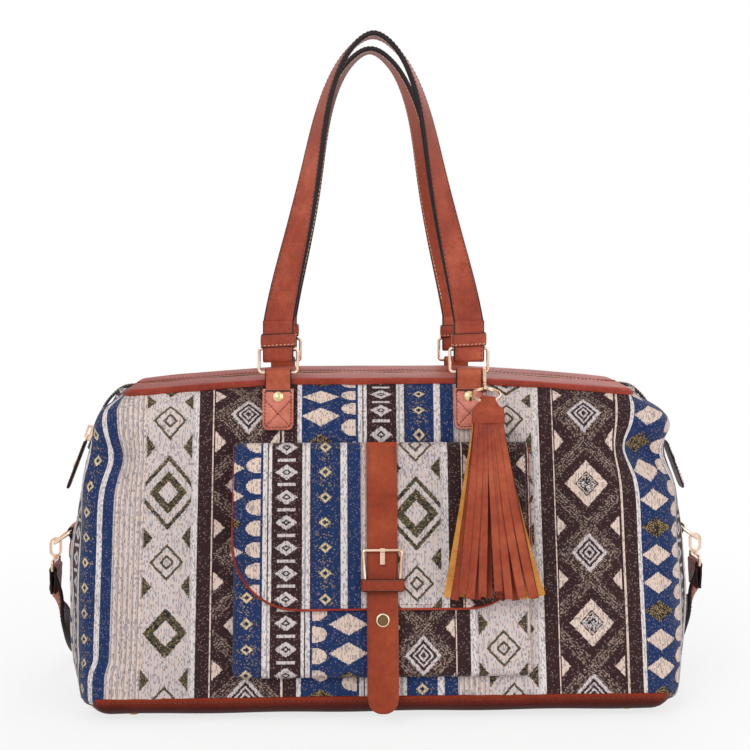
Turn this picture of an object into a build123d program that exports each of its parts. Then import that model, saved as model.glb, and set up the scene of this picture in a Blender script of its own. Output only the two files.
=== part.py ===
from build123d import *
import os
from math import atan2, cos, pi, radians, sin, sqrt

os.makedirs("parts", exist_ok=True)

# Body of the bag
body_width = 520.0
base_depth = 216.0
top_depth = 110.0
body_height = 266.0
foot_height = 5.0
seam_height = 18.0
widest_height = 60.0
wall = 3.0
base_corner = 34.0
base_edge_turn = 10.0
base_level_rise = 4.0
end_lean = 40.0
base_tuck = 5.0
zip_run_low = body_height - 66.0
zip_run_high = body_height - 16.0
side_tab_low = 105.0
side_tab_high = 150.0

# Leather
leather = 2.0
strip_thickness = 3.0
board_thickness = 3.0
board_margin = 8.0

# Zip
zip_gap = 9.0
zip_end_width = 18.0
tape_thickness = 1.2
teeth_width = 5.0
teeth_height = 1.4
skin_gap = 0.1
slider_width = 10.0
slider_length = 14.0
slider_corner = 2.0
slider_plate = 1.6
slider_clearance = 0.3
slider_start = 6.0
bridge_radius = 0.8
bridge_width = 3.0
bridge_inset = 1.5
bridge_post = 1.6
bridge_sink = 0.5
pull_wire = 0.8
pull_bend = 0.9
pull_loop_room = 2.5
pull_rivet_radius = 3.2
pull_rivet_height = 1.0
pull_rivet_hole = 1.6
zip_tab_length = 44.0
zip_tab_cover = 4.0
zip_tab_corner = 3.6
pull_width = 9.0
pull_length = 44.0
pull_thickness = 2.4
pull_corner = 2.7

# Front pocket
pocket_width = 237.0
pocket_low = 34.0
pocket_high = body_height - 53.0
pocket_depth = 9.0
pocket_wall = 2.5
pocket_corner = 6.0
flap_low = 88.0
flap_corner = 52.0
piping_width = 1.6
piping_proud = 0.3
soft_gap = 0.3

# Flap strap and its buckle
strap_width = 24.6
strap_thickness = 2.5
strap_tip = 11.0
strap_tip_round = 11.0
snap_height = 80.0
snap_radius = 5.6
snap_dome = 2.0
snap_edge = 1.4
buckle_top = 133.0
buckle_bottom = 105.0
buckle_top_width = 31.0
buckle_bottom_width = 27.0
buckle_wire = 2.4
prong_width = 3.8
prong_wall = 0.9
prong_reach = 11.0
prong_slot = 7.0
keeper_low = 101.0
keeper_high = 111.0
keeper_wall = 1.4

# Handles, their rings and tabs
handle_spread = 78.5
handle_shift = -5.5
bar_above_top = 4.0
lower_bar_height = body_height + bar_above_top
ring_width = 31.4
ring_height = 19.6
ring_corner = 2.4
ring_wire_radius = 1.3
running_clearance = 0.06
tab_width = 25.4
tab_neck = 21.6
tab_length = 47.0
tab_stitched = 14.0
tab_corner = 5.0
rivet_drop = 20.0
rivet_radius = 4.1
rivet_dome = 1.9
rivet_edge = 0.6
handle_width = 25.0
handle_thickness = 4.0
handle_rise = 260.0
handle_mid_rise = 150.0
handle_mid_spread = 51.0
handle_arch_spread = 37.0
handle_arch_rise = 211.0
handle_lean = 11.0
leg_share = 0.55
turn_early = 0.3
keeper_band = 11.0
band_wall = 1.5
keeper_lift = 1.5
foot_drop = 8.0
foot_straight = 20.0
fold_end = 1.0

# Charm
clasp_thickness = 2.4
clasp_wall = 1.3
clasp_opening = 5.0
clasp_drop = 9.0
clasp_neck = 5.0
eye_radius = 1.9
charm_shift = 12.6
split_radius = 11.5
split_wire = 0.7
split_pitch = 1.3
split_tilt = 32.0
head_neck = 12.0
neck_leather = 1.6
head_width = 26.0
tassel_lean = 1.5
head_thickness = 7.0
head_length = 22.0
strand_length = 136.0
strand_width = 6.4
strand_thickness = 1.6
strands_across = 8
strand_stagger = 0.25
strand_step = 4.0
strand_rows = 3
fan_half_angle = 11.0
row_half_angle = 2.6
row_overlap = 0.9

# Shoulder strap and its fittings
d_ring_width = 29.0
d_ring_depth = 19.0
d_ring_straight = 8.5
d_ring_bow = 13.0
d_ring_tilt = 50.0
d_ring_wire = 1.4
side_tab_length = 24.0
side_tab_stitched = 9.0
hook_opening = 6.6
hook_drop = 6.0
hook_wall = 1.9
hook_thickness = 3.4
hook_neck = 3.0
base_loop_height = 8.0
base_loop_width = 29.4
shoulder_width = 25.0
shoulder_thickness = 3.0
shoulder_fold = 16.0
shoulder_reach = 92.0
shoulder_turn = 30.0
shoulder_behind = 118.0
strap_floor_gap = 0.2
side_bar_height = 131.0
side_tab_width = 25.0
side_tab_neck = 22.0
d_ring_corner = 2.5

# Feet
foot_radius = 5.5
foot_flat = 2.2
foot_side = 2.25
foot_x = 198.0
foot_y = 84.0


def half_width(z):
    """Half of the body's width at a height."""
    if z >= widest_height:
        rise = (z - widest_height) / (body_height - widest_height)
        return body_width / 2 - end_lean * rise**3
    fall = (widest_height - z) / (widest_height - foot_height)
    return body_width / 2 - base_tuck * fall**2 - edge_turn(z)


def edge_turn(z):
    """How far the rounded lower edge draws in at a height."""
    if z >= seam_height:
        return 0.0
    fall = (seam_height - z) / (seam_height - foot_height)
    return base_edge_turn * (1 - sqrt(1 - fall**2))


front_slope = (base_depth - top_depth) / 2 / (body_height - seam_height)
front_lean = atan2(base_depth - top_depth, 2 * (body_height - seam_height))


def half_depth(z):
    """Half of the body's depth at a height."""
    return base_depth / 2 - front_slope * max(z - seam_height, 0) - edge_turn(z)


def corner_at(z, inset=0.0):
    """Radius of the upright corners at a height."""
    return base_corner * half_depth(z) / (base_depth / 2) - inset


def body_levels(low, high):
    """Heights of the body's cross-sections, from low to high."""
    base_mid = foot_height + base_level_rise
    wanted = [base_mid, seam_height, widest_height, side_tab_low, side_tab_high, zip_run_low, zip_run_high]
    return [low] + [z for z in wanted if low < z < high] + [high]


def body_solid(low, high, inset=0.0):
    """The body's outer form between two heights, drawn in by an inset."""
    with BuildPart() as body:
        for z in body_levels(low, high):
            with BuildSketch(Plane.XY.offset(z)):
                RectangleRounded(2 * (half_width(z) - inset), 2 * (half_depth(z) - inset), corner_at(z, inset))
        loft(ruled=True)
    return body.part


def save(piece, name):
    """Label a finished piece and write it."""
    piece.part.label = name
    export_step(piece.part, f"parts/{name}.step")


# Body shell: leather base, two fabric panels, two leather strips
rim_height = body_height - strip_thickness
outer_form = body_solid(foot_height, rim_height)
inner_form = body_solid(foot_height + wall, rim_height, wall)

with BuildPart() as base_panel:
    add(outer_form)
    add(inner_form, mode=Mode.SUBTRACT)
    split(bisect_by=Plane.XY.offset(seam_height), keep=Keep.BOTTOM)
save(base_panel, "base_panel")

with BuildPart() as front_panel:
    add(outer_form)
    add(inner_form, mode=Mode.SUBTRACT)
    split(bisect_by=Plane.XY.offset(seam_height), keep=Keep.TOP)
    split(bisect_by=Plane.XZ, keep=Keep.TOP)
save(front_panel, "front_panel")

with BuildPart() as back_panel:
    add(outer_form)
    add(inner_form, mode=Mode.SUBTRACT)
    split(bisect_by=Plane.XY.offset(seam_height), keep=Keep.TOP)
    split(bisect_by=Plane.XZ, keep=Keep.BOTTOM)
save(back_panel, "back_panel")

with BuildPart() as base_board:
    board_z = foot_height + wall
    with BuildSketch(Plane.XY.offset(board_z)):
        RectangleRounded(
            2 * (half_width(board_z) - wall - board_margin),
            2 * (half_depth(board_z) - wall - board_margin),
            base_corner - board_margin,
        )
    extrude(amount=board_thickness)
save(base_board, "base_board")


def top_strip(side):
    """Leather strip beside the zip, on the front (-1) or the back (1)."""
    with BuildPart() as strip:
        add(body_solid(rim_height, body_height))
        edge = Plane.XZ.offset(-side * zip_gap / 2)
        split(bisect_by=edge, keep=Keep.TOP if side < 0 else Keep.BOTTOM)
    return strip


top_band_front = top_strip(-1)
save(top_band_front, "top_band_front")
top_band_back = top_strip(1)
save(top_band_back, "top_band_back")

# Feet
with BuildPart() as feet:
    with BuildSketch(Plane.XZ) as dome:
        with BuildLine():
            Line((0, 0), (foot_flat, 0))
            TangentArc((foot_flat, 0), (foot_radius, foot_side), tangent=(1, 0))
            Line((foot_radius, foot_side), (foot_radius, foot_height))
            Line((foot_radius, foot_height), (0, foot_height))
            Line((0, foot_height), (0, 0))
        make_face()
    one_foot = revolve(axis=Axis.Z, mode=Mode.PRIVATE)
    with GridLocations(2 * foot_x, 2 * foot_y, 2, 2):
        add(one_foot)
save(feet, "feet")

# Zip: tape and teeth over the top and down each end
end_dx = half_width(zip_run_low) - half_width(zip_run_high)
end_dz = zip_run_high - zip_run_low
end_angle = atan2(end_dx, end_dz)


def zip_outline(lift, thickness):
    """Closed outline of a band that follows the top and both ends, lifted off the body."""
    def edge(off):
        right = []
        for z in (zip_run_low, zip_run_high, rim_height):
            right.append((half_width(z) + off / cos(end_angle), z))
        corner_x = half_width(rim_height) + off / cos(end_angle)
        right.append((corner_x, rim_height + off))
        return right
    inner = edge(lift)
    outer = edge(lift + thickness)
    inner_loop = inner + [(-x, z) for x, z in reversed(inner)]
    outer_loop = outer + [(-x, z) for x, z in reversed(outer)]
    return inner_loop + list(reversed(outer_loop))


with BuildPart() as zip_tape:
    with BuildSketch(Plane.XZ):
        Polygon(*zip_outline(skin_gap, tape_thickness), align=None)
    extrude(amount=zip_gap / 2, both=True)
save(zip_tape, "zip_tape")

teeth_lift = skin_gap + tape_thickness
with BuildPart() as zip_teeth:
    with BuildSketch(Plane.XZ):
        Polygon(*zip_outline(teeth_lift, teeth_height), align=None)
    extrude(amount=teeth_width / 2, both=True)
save(zip_teeth, "zip_teeth")

# Slider on the left end run: x down the run, y across, z outward
run_down = Vector(-sin(end_angle), 0, -cos(end_angle))
run_out = Vector(-cos(end_angle), 0, sin(end_angle))
run_low_point = Vector(-half_width(zip_run_low), 0, zip_run_low)
teeth_top = teeth_lift + teeth_height
slider_centre = run_low_point - run_down * (slider_start + slider_length / 2)
slider_plane = Plane(origin=slider_centre, x_dir=run_down, z_dir=run_out)
slider_floor = teeth_lift + slider_clearance
slider_roof = teeth_top + slider_clearance
slider_top = slider_roof + slider_plate
bridge_end = slider_length / 2 - bridge_inset
bridge_lift = slider_top + slider_clearance + 2 * pull_wire + slider_clearance + bridge_radius
slider_side = Plane(origin=slider_centre, x_dir=run_down, z_dir=Vector(0, 1, 0))
with BuildPart() as zip_slider:
    with BuildSketch(slider_plane.offset(slider_floor)):
        RectangleRounded(slider_length, slider_width, slider_corner)
    extrude(amount=slider_top - slider_floor)
    with BuildSketch(slider_plane.offset(slider_floor)):
        Rectangle(slider_length * 2, teeth_width + 2 * slider_clearance)
    extrude(amount=slider_roof - slider_floor, mode=Mode.SUBTRACT)
    with BuildSketch(slider_side):
        bridge_foot = slider_top - bridge_sink
        bridge_head = bridge_lift + bridge_radius
        Polygon(
            (-bridge_end, bridge_foot),
            (bridge_end, bridge_foot),
            (bridge_end, bridge_head),
            (-bridge_end, bridge_head),
            align=None,
        )
        eye_low = bridge_lift - bridge_radius
        Polygon(
            (-bridge_end + bridge_post, slider_top),
            (bridge_end - bridge_post, slider_top),
            (bridge_end - bridge_post, eye_low),
            (-bridge_end + bridge_post, eye_low),
            align=None,
            mode=Mode.SUBTRACT,
        )
    extrude(amount=bridge_width / 2, both=True)
save(zip_slider, "zip_slider")

# Pull: a leather tag whose wire loop hangs in the slider's bridge
pull_pivot = slider_centre + run_down * (bridge_end - bridge_post - pull_wire - slider_clearance)
pull_pivot = pull_pivot + run_out * (slider_top + slider_clearance + pull_wire)
pull_plane = Plane(origin=pull_pivot, x_dir=run_down, z_dir=run_out)
with BuildPart() as zip_pull:
    loop_half = bridge_width / 2 + slider_clearance + pull_wire
    loop_end = 2 * pull_wire + bridge_post + pull_loop_room
    with BuildLine(pull_plane) as loop_path:
        FilletPolyline(
            (0, -loop_half),
            (0, loop_half),
            (loop_end, loop_half),
            (loop_end, -loop_half),
            radius=pull_bend,
            close=True,
        )
    with BuildSketch(Plane(origin=pull_pivot, z_dir=Vector(0, 1, 0))):
        Circle(pull_wire)
    sweep()
    with BuildSketch(pull_plane.offset(-pull_thickness / 2)):
        with Locations((loop_end + pull_length / 2 - pull_wire, 0)):
            RectangleRounded(pull_length, pull_width, pull_corner)
    extrude(amount=pull_thickness)
save(zip_pull, "zip_pull")

with BuildPart() as zip_pull_rivet:
    rivet_at = (loop_end + pull_length / 2, 0)
    with BuildSketch(pull_plane.offset(pull_thickness / 2)):
        with Locations(rivet_at):
            Circle(pull_rivet_radius)
            Circle(pull_rivet_hole, mode=Mode.SUBTRACT)
    extrude(amount=pull_rivet_height)
save(zip_pull_rivet, "zip_pull_rivet")

# Leather tab over the zip's right end
right_run_down = Vector(sin(end_angle), 0, -cos(end_angle))
right_run_out = Vector(cos(end_angle), 0, sin(end_angle))
tab_start = Vector(half_width(zip_run_low), 0, zip_run_low) - right_run_down * zip_tab_cover
right_tab_plane = Plane(origin=tab_start, x_dir=right_run_down, z_dir=right_run_out)
with BuildPart() as zip_end_tab:
    with BuildSketch(right_tab_plane.offset(teeth_top + skin_gap)):
        with Locations((zip_tab_length / 2, 0)):
            RectangleRounded(zip_tab_length, zip_end_width, zip_tab_corner)
    extrude(amount=leather)
save(zip_end_tab, "zip_end_tab")

# Front pocket: built on the leaning front face, x across, y up the face, z outward
front_out = Vector(0, -cos(front_lean), sin(front_lean))
back_out = Vector(0, cos(front_lean), sin(front_lean))
front_face = Plane(origin=(0, -base_depth / 2, seam_height), x_dir=(1, 0, 0), z_dir=front_out)
back_face = Plane(origin=(0, base_depth / 2, seam_height), x_dir=(-1, 0, 0), z_dir=back_out)


def up_face(z, out=0.0):
    """Distance up the leaning face to a height, at a distance out from it."""
    return (z - seam_height - out * sin(front_lean)) / cos(front_lean)


pocket_bottom_v = up_face(pocket_low)
pocket_top_v = up_face(pocket_high)
mouth_v = pocket_top_v - pocket_wall - soft_gap
with BuildPart() as pocket_body:
    with BuildSketch(front_face) as outline:
        with Locations((0, (pocket_bottom_v + mouth_v) / 2)):
            Rectangle(pocket_width, mouth_v - pocket_bottom_v)
        fillet(outline.vertices().group_by(Axis.Z)[0], pocket_corner)
    extrude(amount=pocket_depth)
    with BuildSketch(front_face):
        with Locations((0, (pocket_bottom_v + pocket_wall + mouth_v) / 2)):
            Rectangle(pocket_width - 2 * pocket_wall, mouth_v - pocket_bottom_v - pocket_wall)
    extrude(amount=pocket_depth - pocket_wall, mode=Mode.SUBTRACT)
save(pocket_body, "pocket_body")

flap_back = pocket_depth + soft_gap
flap_front = flap_back + pocket_wall
flap_bottom_v = up_face(flap_low, flap_front)


def flap_outline(plane, grow=0.0):
    """The flap's outline with its large rounded lower corners."""
    with BuildSketch(plane) as outline:
        low_v = flap_bottom_v - grow
        with Locations((0, (low_v + pocket_top_v) / 2)):
            Rectangle(pocket_width + 2 * grow, pocket_top_v - low_v)
        fillet(outline.vertices().group_by(Axis.Y)[0], flap_corner + grow)
    return outline.sketch


with BuildPart() as pocket_flap:
    with BuildSketch(front_face.offset(flap_back)):
        add(flap_outline(Plane.XY))
    extrude(amount=pocket_wall)
    with BuildSketch(front_face):
        with Locations((0, pocket_top_v - pocket_wall / 2)):
            Rectangle(pocket_width, pocket_wall)
    extrude(amount=flap_front)
save(pocket_flap, "pocket_flap")

with BuildPart() as flap_piping:
    piping_plane = front_face.offset(flap_back)
    with BuildSketch(piping_plane):
        add(flap_outline(Plane.XY, piping_width))
        add(flap_outline(Plane.XY), mode=Mode.SUBTRACT)
    extrude(amount=pocket_wall + piping_proud)
save(flap_piping, "flap_piping")

# Flap strap, snap, buckle and keeper
strap_back = flap_front + piping_proud
strap_front = strap_back + strap_thickness
strap_tip_v = up_face(strap_tip, strap_front)
prong_hole_v = up_face(buckle_top, strap_front) - prong_reach
with BuildPart() as flap_strap:
    with BuildSketch(front_face.offset(strap_back)) as outline:
        with Locations((0, (strap_tip_v + pocket_top_v) / 2)):
            Rectangle(strap_width, pocket_top_v - strap_tip_v)
        fillet(outline.vertices().group_by(Axis.Z)[0], strap_tip_round)
        with Locations((0, prong_hole_v)):
            SlotOverall(prong_slot, prong_width + 2 * soft_gap, rotation=90, mode=Mode.SUBTRACT)
    extrude(amount=strap_thickness)
save(flap_strap, "flap_strap")

snap_v = up_face(snap_height, strap_front)
with BuildPart() as snap_socket:
    with BuildSketch(front_face.offset(pocket_depth)):
        with Locations((0, snap_v)):
            Circle(snap_radius)
    extrude(amount=strap_back - pocket_depth)
save(snap_socket, "snap_socket")

with BuildPart() as snap_cap:
    with BuildSketch(front_face.offset(strap_front)):
        with Locations((0, snap_v)):
            Circle(snap_radius)
    extrude(amount=snap_dome)
    fillet(snap_cap.faces().sort_by(Axis.Y)[0].edges(), snap_edge)
save(snap_cap, "snap_cap")

# Buckle frame: its top bar stands off the strap for the prong's loop, its foot rests on the strap
bar_half = buckle_wire / 2
prong_inner = bar_half + running_clearance
prong_outer = prong_inner + prong_wall
top_bar_out = strap_front + soft_gap + prong_outer
foot_out = strap_front + bar_half
top_bar_v = up_face(buckle_top, top_bar_out)
foot_v = up_face(buckle_bottom, foot_out)
buckle_tilt = atan2(top_bar_out - foot_out, top_bar_v - foot_v)
foot_origin = front_face.from_local_coords((0, foot_v, foot_out))
top_origin = front_face.from_local_coords((0, top_bar_v, top_bar_out))
buckle_up = (top_origin - foot_origin).normalized()
buckle_plane = Plane(origin=foot_origin, x_dir=(1, 0, 0), z_dir=Vector(1, 0, 0).cross(buckle_up))
buckle_length = (top_origin - foot_origin).length
with BuildPart() as buckle_frame:
    with BuildLine(buckle_plane) as frame_path:
        FilletPolyline(
            (-buckle_bottom_width / 2, 0),
            (buckle_bottom_width / 2, 0),
            (buckle_top_width / 2, buckle_length),
            (-buckle_top_width / 2, buckle_length),
            radius=buckle_wire,
            close=True,
        )
    with BuildSketch(Plane(origin=foot_origin, z_dir=(1, 0, 0))):
        Circle(bar_half)
    sweep()
save(buckle_frame, "buckle_frame")

prong_side = Plane(origin=top_origin, x_dir=-buckle_up, z_dir=(1, 0, 0))
with BuildPart() as buckle_prong:
    with BuildSketch(prong_side):
        Circle(prong_outer)
        with Locations((prong_reach / 2, 0)):
            Rectangle(prong_reach, 2 * prong_wall)
        Circle(prong_inner, mode=Mode.SUBTRACT)
    extrude(amount=prong_width / 2, both=True)
save(buckle_prong, "buckle_prong")

keeper_low_v = up_face(keeper_low, strap_front)
keeper_high_v = up_face(keeper_high, strap_front)
with BuildPart() as strap_keeper:
    keeper_share = (keeper_high_v - foot_v) / buckle_length
    frame_spread = (buckle_top_width - buckle_bottom_width) / 2 * keeper_share
    keeper_inside = buckle_bottom_width / 2 + bar_half + soft_gap + frame_spread
    frame_rise = (top_bar_out - foot_out) * keeper_share
    keeper_roof = foot_out + bar_half + soft_gap + frame_rise
    with BuildSketch(front_face.offset(flap_front)):
        with Locations((0, (keeper_low_v + keeper_high_v) / 2)):
            Rectangle(2 * (keeper_inside + keeper_wall), keeper_high_v - keeper_low_v)
    extrude(amount=keeper_roof + keeper_wall - flap_front)
    with BuildSketch(front_face.offset(flap_front)):
        with Locations((0, (keeper_low_v + keeper_high_v) / 2)):
            Rectangle(2 * keeper_inside, 2 * (keeper_high_v - keeper_low_v))
    extrude(amount=keeper_roof - flap_front, mode=Mode.SUBTRACT)
save(strap_keeper, "strap_keeper")

# Handle tabs: each folds over a ring's lower bar and is stitched to the panel
bar_hole = ring_wire_radius + running_clearance
loop_radius = bar_hole + leather
lower_bar_v = up_face(lower_bar_height, loop_radius)


def side_of(plane):
    """Plane across a strap: x up the strap, y out from the bag."""
    return Plane(origin=plane.origin, x_dir=plane.y_dir, z_dir=plane.x_dir)


def loop_tab(plane, width, neck, length, stitched, hole):
    """Strap folded over a bar: x across, y up with the bar at zero, z out from the bag."""
    outer = hole + leather
    with BuildPart() as tab:
        with BuildSketch(side_of(plane)) as fold:
            with Locations((0, outer)):
                Circle(outer)
            with Locations((-stitched, leather)):
                Rectangle(leather, 2 * leather)
            make_hull()
        extrude(amount=neck / 2, both=True)
        with BuildSketch(plane) as sewn:
            with Locations((0, -(length + stitched) / 2)):
                Rectangle(width, length - stitched)
            corners = sewn.vertices().group_by(Axis((0, 0, 0), tuple(plane.y_dir)))[0]
            fillet(corners, tab_corner)
        extrude(amount=2 * leather)
        with BuildSketch(side_of(plane)):
            with Locations((0, outer)):
                Circle(hole)
        extrude(amount=neck, both=True, mode=Mode.SUBTRACT)
    return tab


def tab_plane(face, x):
    """Plane of a handle tab on a leaning face, with y = 0 at the ring's lower bar."""
    origin = face.from_local_coords((x, lower_bar_v, 0))
    return Plane(origin=origin, x_dir=face.x_dir, z_dir=face.z_dir)


# Left and right are as seen from the front; the back face's x runs the other way
tab_left_x = handle_shift - handle_spread
tab_right_x = handle_shift + handle_spread
tab_places = {
    "front_left": tab_plane(front_face, tab_left_x),
    "front_right": tab_plane(front_face, tab_right_x),
    "back_left": tab_plane(back_face, -tab_left_x),
    "back_right": tab_plane(back_face, -tab_right_x),
}
for place, plane in tab_places.items():
    handle_tab = loop_tab(plane, tab_width, tab_neck, tab_length, tab_stitched, bar_hole)
    save(handle_tab, "handle_tab_" + place)

with BuildPart() as tab_rivets:
    for plane in tab_places.values():
        rivet_foot = plane.from_local_coords((0, -rivet_drop, 2 * leather))
        rivet_side = Plane(origin=rivet_foot, x_dir=plane.x_dir, z_dir=-plane.y_dir)
        with BuildSketch(rivet_side):
            with BuildLine():
                Line((0, 0), (rivet_radius, 0))
                Line((rivet_radius, 0), (rivet_radius, rivet_edge))
                TangentArc((0, rivet_dome), (rivet_radius, rivet_edge), tangent=(1, 0))
                Line((0, rivet_dome), (0, 0))
            make_face()
        revolve(axis=Axis(rivet_foot, plane.z_dir))
save(tab_rivets, "tab_rivets")


def ring_at(plane, width, height, corner, wire):
    """Rectangular wire ring standing up from the middle of its lower bar, x across, y up."""
    with BuildPart() as ring:
        with BuildLine(plane):
            FilletPolyline(
                (-width / 2, 0),
                (width / 2, 0),
                (width / 2, height),
                (-width / 2, height),
                radius=corner,
                close=True,
            )
        with BuildSketch(Plane(origin=plane.origin, z_dir=plane.x_dir)):
            Circle(wire)
        sweep()
    return ring


for place, plane in tab_places.items():
    bar_centre = plane.from_local_coords((0, 0, loop_radius))
    out = Vector(0, -1, 0) if "front" in place else Vector(0, 1, 0)
    ring_plane = Plane(origin=bar_centre, x_dir=plane.x_dir, z_dir=out)
    ring = ring_at(ring_plane, ring_width, ring_height, ring_corner, ring_wire_radius)
    save(ring, "ring_" + place)

# Handles: a strap folded over both upper bars, turning a quarter turn up each leg
bar_y = tab_places["front_left"].from_local_coords((0, 0, loop_radius)).Y
upper_bar_height = lower_bar_height + ring_height
band_top = keeper_lift + keeper_band
arch_stations = 16
quarter_turn = pi / 2


def handle_path(side):
    """Centre line of a handle, from the left leg's foot over the arch to the right one's."""
    def at(spread, rise):
        lean_share = (rise / handle_rise) ** 2
        z = upper_bar_height + rise
        return (handle_shift + spread, side * (-bar_y - handle_lean * lean_share), z)
    low_spread = handle_spread + (handle_mid_spread - handle_spread) * leg_share
    low_rise = foot_straight + (handle_mid_rise - foot_straight) * leg_share
    left = [
        at(-handle_spread, foot_straight),
        at(-low_spread, low_rise),
        at(-handle_mid_spread, handle_mid_rise),
        at(-handle_arch_spread, handle_arch_rise),
    ]
    right = [(2 * handle_shift - x, y, z) for x, y, z in reversed(left)]
    return left + [at(0, handle_rise)] + right


def handle_strap(side):
    """Handle strap on the front (-1) or the back (1)."""
    front = Vector(0, side, 0)
    with BuildLine(mode=Mode.PRIVATE) as route:
        centre_line = Spline(*handle_path(side), tangents=[(0, 0, 1), (0, 0, -1)])
    with BuildPart() as handle:
        for station in range(arch_stations + 1):
            along = station / arch_stations
            place = centre_line @ along
            heading = centre_line % along
            up_leg = min(along, 1 - along) * 2
            turn = quarter_turn * ((1 + turn_early) * up_leg - turn_early * up_leg**2)
            outward = Vector(0, 1, 0).cross(heading) * -1
            facing = front * cos(turn) + outward * sin(turn)
            across = heading.cross(facing)
            with BuildSketch(Plane(origin=place, x_dir=across, z_dir=heading)):
                Rectangle(handle_width, handle_thickness)
        loft()
        for leg in (-1, 1):
            leg_x = handle_shift + leg * handle_spread
            foot = Plane(origin=(leg_x, side * -bar_y, upper_bar_height), x_dir=(0, 0, 1), z_dir=(1, 0, 0))
            with BuildSketch(foot):
                with Locations((-foot_drop, 0)):
                    Circle(loop_radius)
                with Locations((band_top / 2, 0)):
                    Rectangle(band_top, 2 * loop_radius)
                with Locations((foot_straight - fold_end / 2, 0)):
                    Rectangle(fold_end, handle_thickness)
                make_hull()
                slot_length = foot_drop + 2 * bar_hole
                with Locations((-foot_drop / 2, 0)):
                    SlotOverall(slot_length, 2 * bar_hole, mode=Mode.SUBTRACT)
            extrude(amount=handle_width / 2, both=True)
    return handle


for side, name in ((-1, "front"), (1, "back")):
    handle = handle_strap(side)
    save(handle, "handle_" + name)
    for leg, leg_name in ((-1, "left"), (1, "right")):
        leg_x = handle_shift + leg * handle_spread
        band_low = upper_bar_height + keeper_lift
        with BuildPart() as keeper:
            with BuildSketch(Plane((leg_x, side * -bar_y, band_low))):
                RectangleRounded(handle_width + 2 * band_wall, 2 * (loop_radius + band_wall), band_wall)
                Rectangle(handle_width, 2 * loop_radius, mode=Mode.SUBTRACT)
            extrude(amount=keeper_band)
        save(keeper, f"handle_keeper_{name}_{leg_name}")

# Hooks: an oval opening round a bar, a sprung gate in its outer leg, and a neck down to an eye
gate_gap = 0.15


def hook_solid(side, centre, radius, drop, wall_size, thickness, eye, eye_hole):
    """Hook in a side plane (x up, y out), with its oval opening below the centre."""
    up, out = centre
    with BuildPart() as hook:
        with BuildSketch(side):
            with Locations((up, out), (up - drop, out)):
                Circle(radius + wall_size)
            make_hull()
            with BuildSketch(mode=Mode.PRIVATE) as neck:
                with Locations((up - drop, out)):
                    Circle(wall_size)
                with Locations(eye):
                    Circle(eye_hole + wall_size)
                make_hull()
            add(neck.sketch)
            with Locations((up - drop / 2, out)):
                SlotOverall(drop + 2 * radius, 2 * radius, mode=Mode.SUBTRACT)
            with Locations((up - drop / 2, out + radius + wall_size / 2)):
                Rectangle(drop, 3 * wall_size, mode=Mode.SUBTRACT)
            if eye_hole > 0:
                with Locations(eye):
                    Circle(eye_hole, mode=Mode.SUBTRACT)
        extrude(amount=thickness / 2, both=True)
    return hook


def gate_solid(side, centre, radius, drop, wall_size, thickness):
    """Gate that fills the gap in a hook's outer leg, rounded at its pivot."""
    up, out = centre
    middle = out + radius + wall_size / 2
    with BuildPart() as gate:
        with BuildSketch(side):
            with Locations((up - drop + gate_gap + wall_size / 2, middle)):
                Circle(wall_size / 2)
            with Locations((up - gate_gap - wall_size / 4, middle)):
                Rectangle(wall_size / 2, wall_size)
            make_hull()
        extrude(amount=thickness / 2, both=True)
    return gate


# Charm on the right front ring: the clasp hangs on the bar beside the tab's loop
charm_tab = tab_places["front_right"]
charm_side = side_of(Plane(
    origin=charm_tab.from_local_coords((charm_shift, 0, 0)),
    x_dir=charm_tab.x_dir,
    z_dir=charm_tab.z_dir,
))
clasp_radius = clasp_opening / 2
clasp_out = soft_gap + clasp_wall + clasp_radius
clasp_side_shift = clasp_out - loop_radius
clasp_slack = clasp_radius - ring_wire_radius - soft_gap
clasp_up = -sqrt(clasp_slack**2 - clasp_side_shift**2)
clasp_centre = (clasp_up, clasp_out)
eye_ring = eye_radius + clasp_wall
charm_eye = (clasp_up - clasp_drop - clasp_neck, 2 * leather + soft_gap + eye_ring)
charm_clasp = hook_solid(
    charm_side, clasp_centre, clasp_radius, clasp_drop, clasp_wall, clasp_thickness, charm_eye, eye_radius
)
save(charm_clasp, "charm_clasp")
charm_gate = gate_solid(charm_side, clasp_centre, clasp_radius, clasp_drop, clasp_wall, clasp_thickness)
save(charm_gate, "charm_gate")

tilt = radians(split_tilt)
split_centre = (charm_eye[0] - split_radius * sin(tilt), charm_eye[1] + split_radius * cos(tilt))
split_origin = charm_side.from_local_coords((split_centre[0], split_centre[1], 0))
split_reach = (charm_side.y_dir * cos(tilt) - charm_side.x_dir * sin(tilt)).normalized()
split_axis = charm_side.z_dir.cross(split_reach)
with BuildPart() as split_ring:
    with BuildSketch(Plane(origin=split_origin, x_dir=split_reach, z_dir=charm_side.z_dir)):
        with Locations((split_radius, split_pitch / 2), (split_radius, -split_pitch / 2)):
            Circle(split_wire)
    revolve(axis=Axis(split_origin, split_axis))
save(split_ring, "split_ring")

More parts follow.
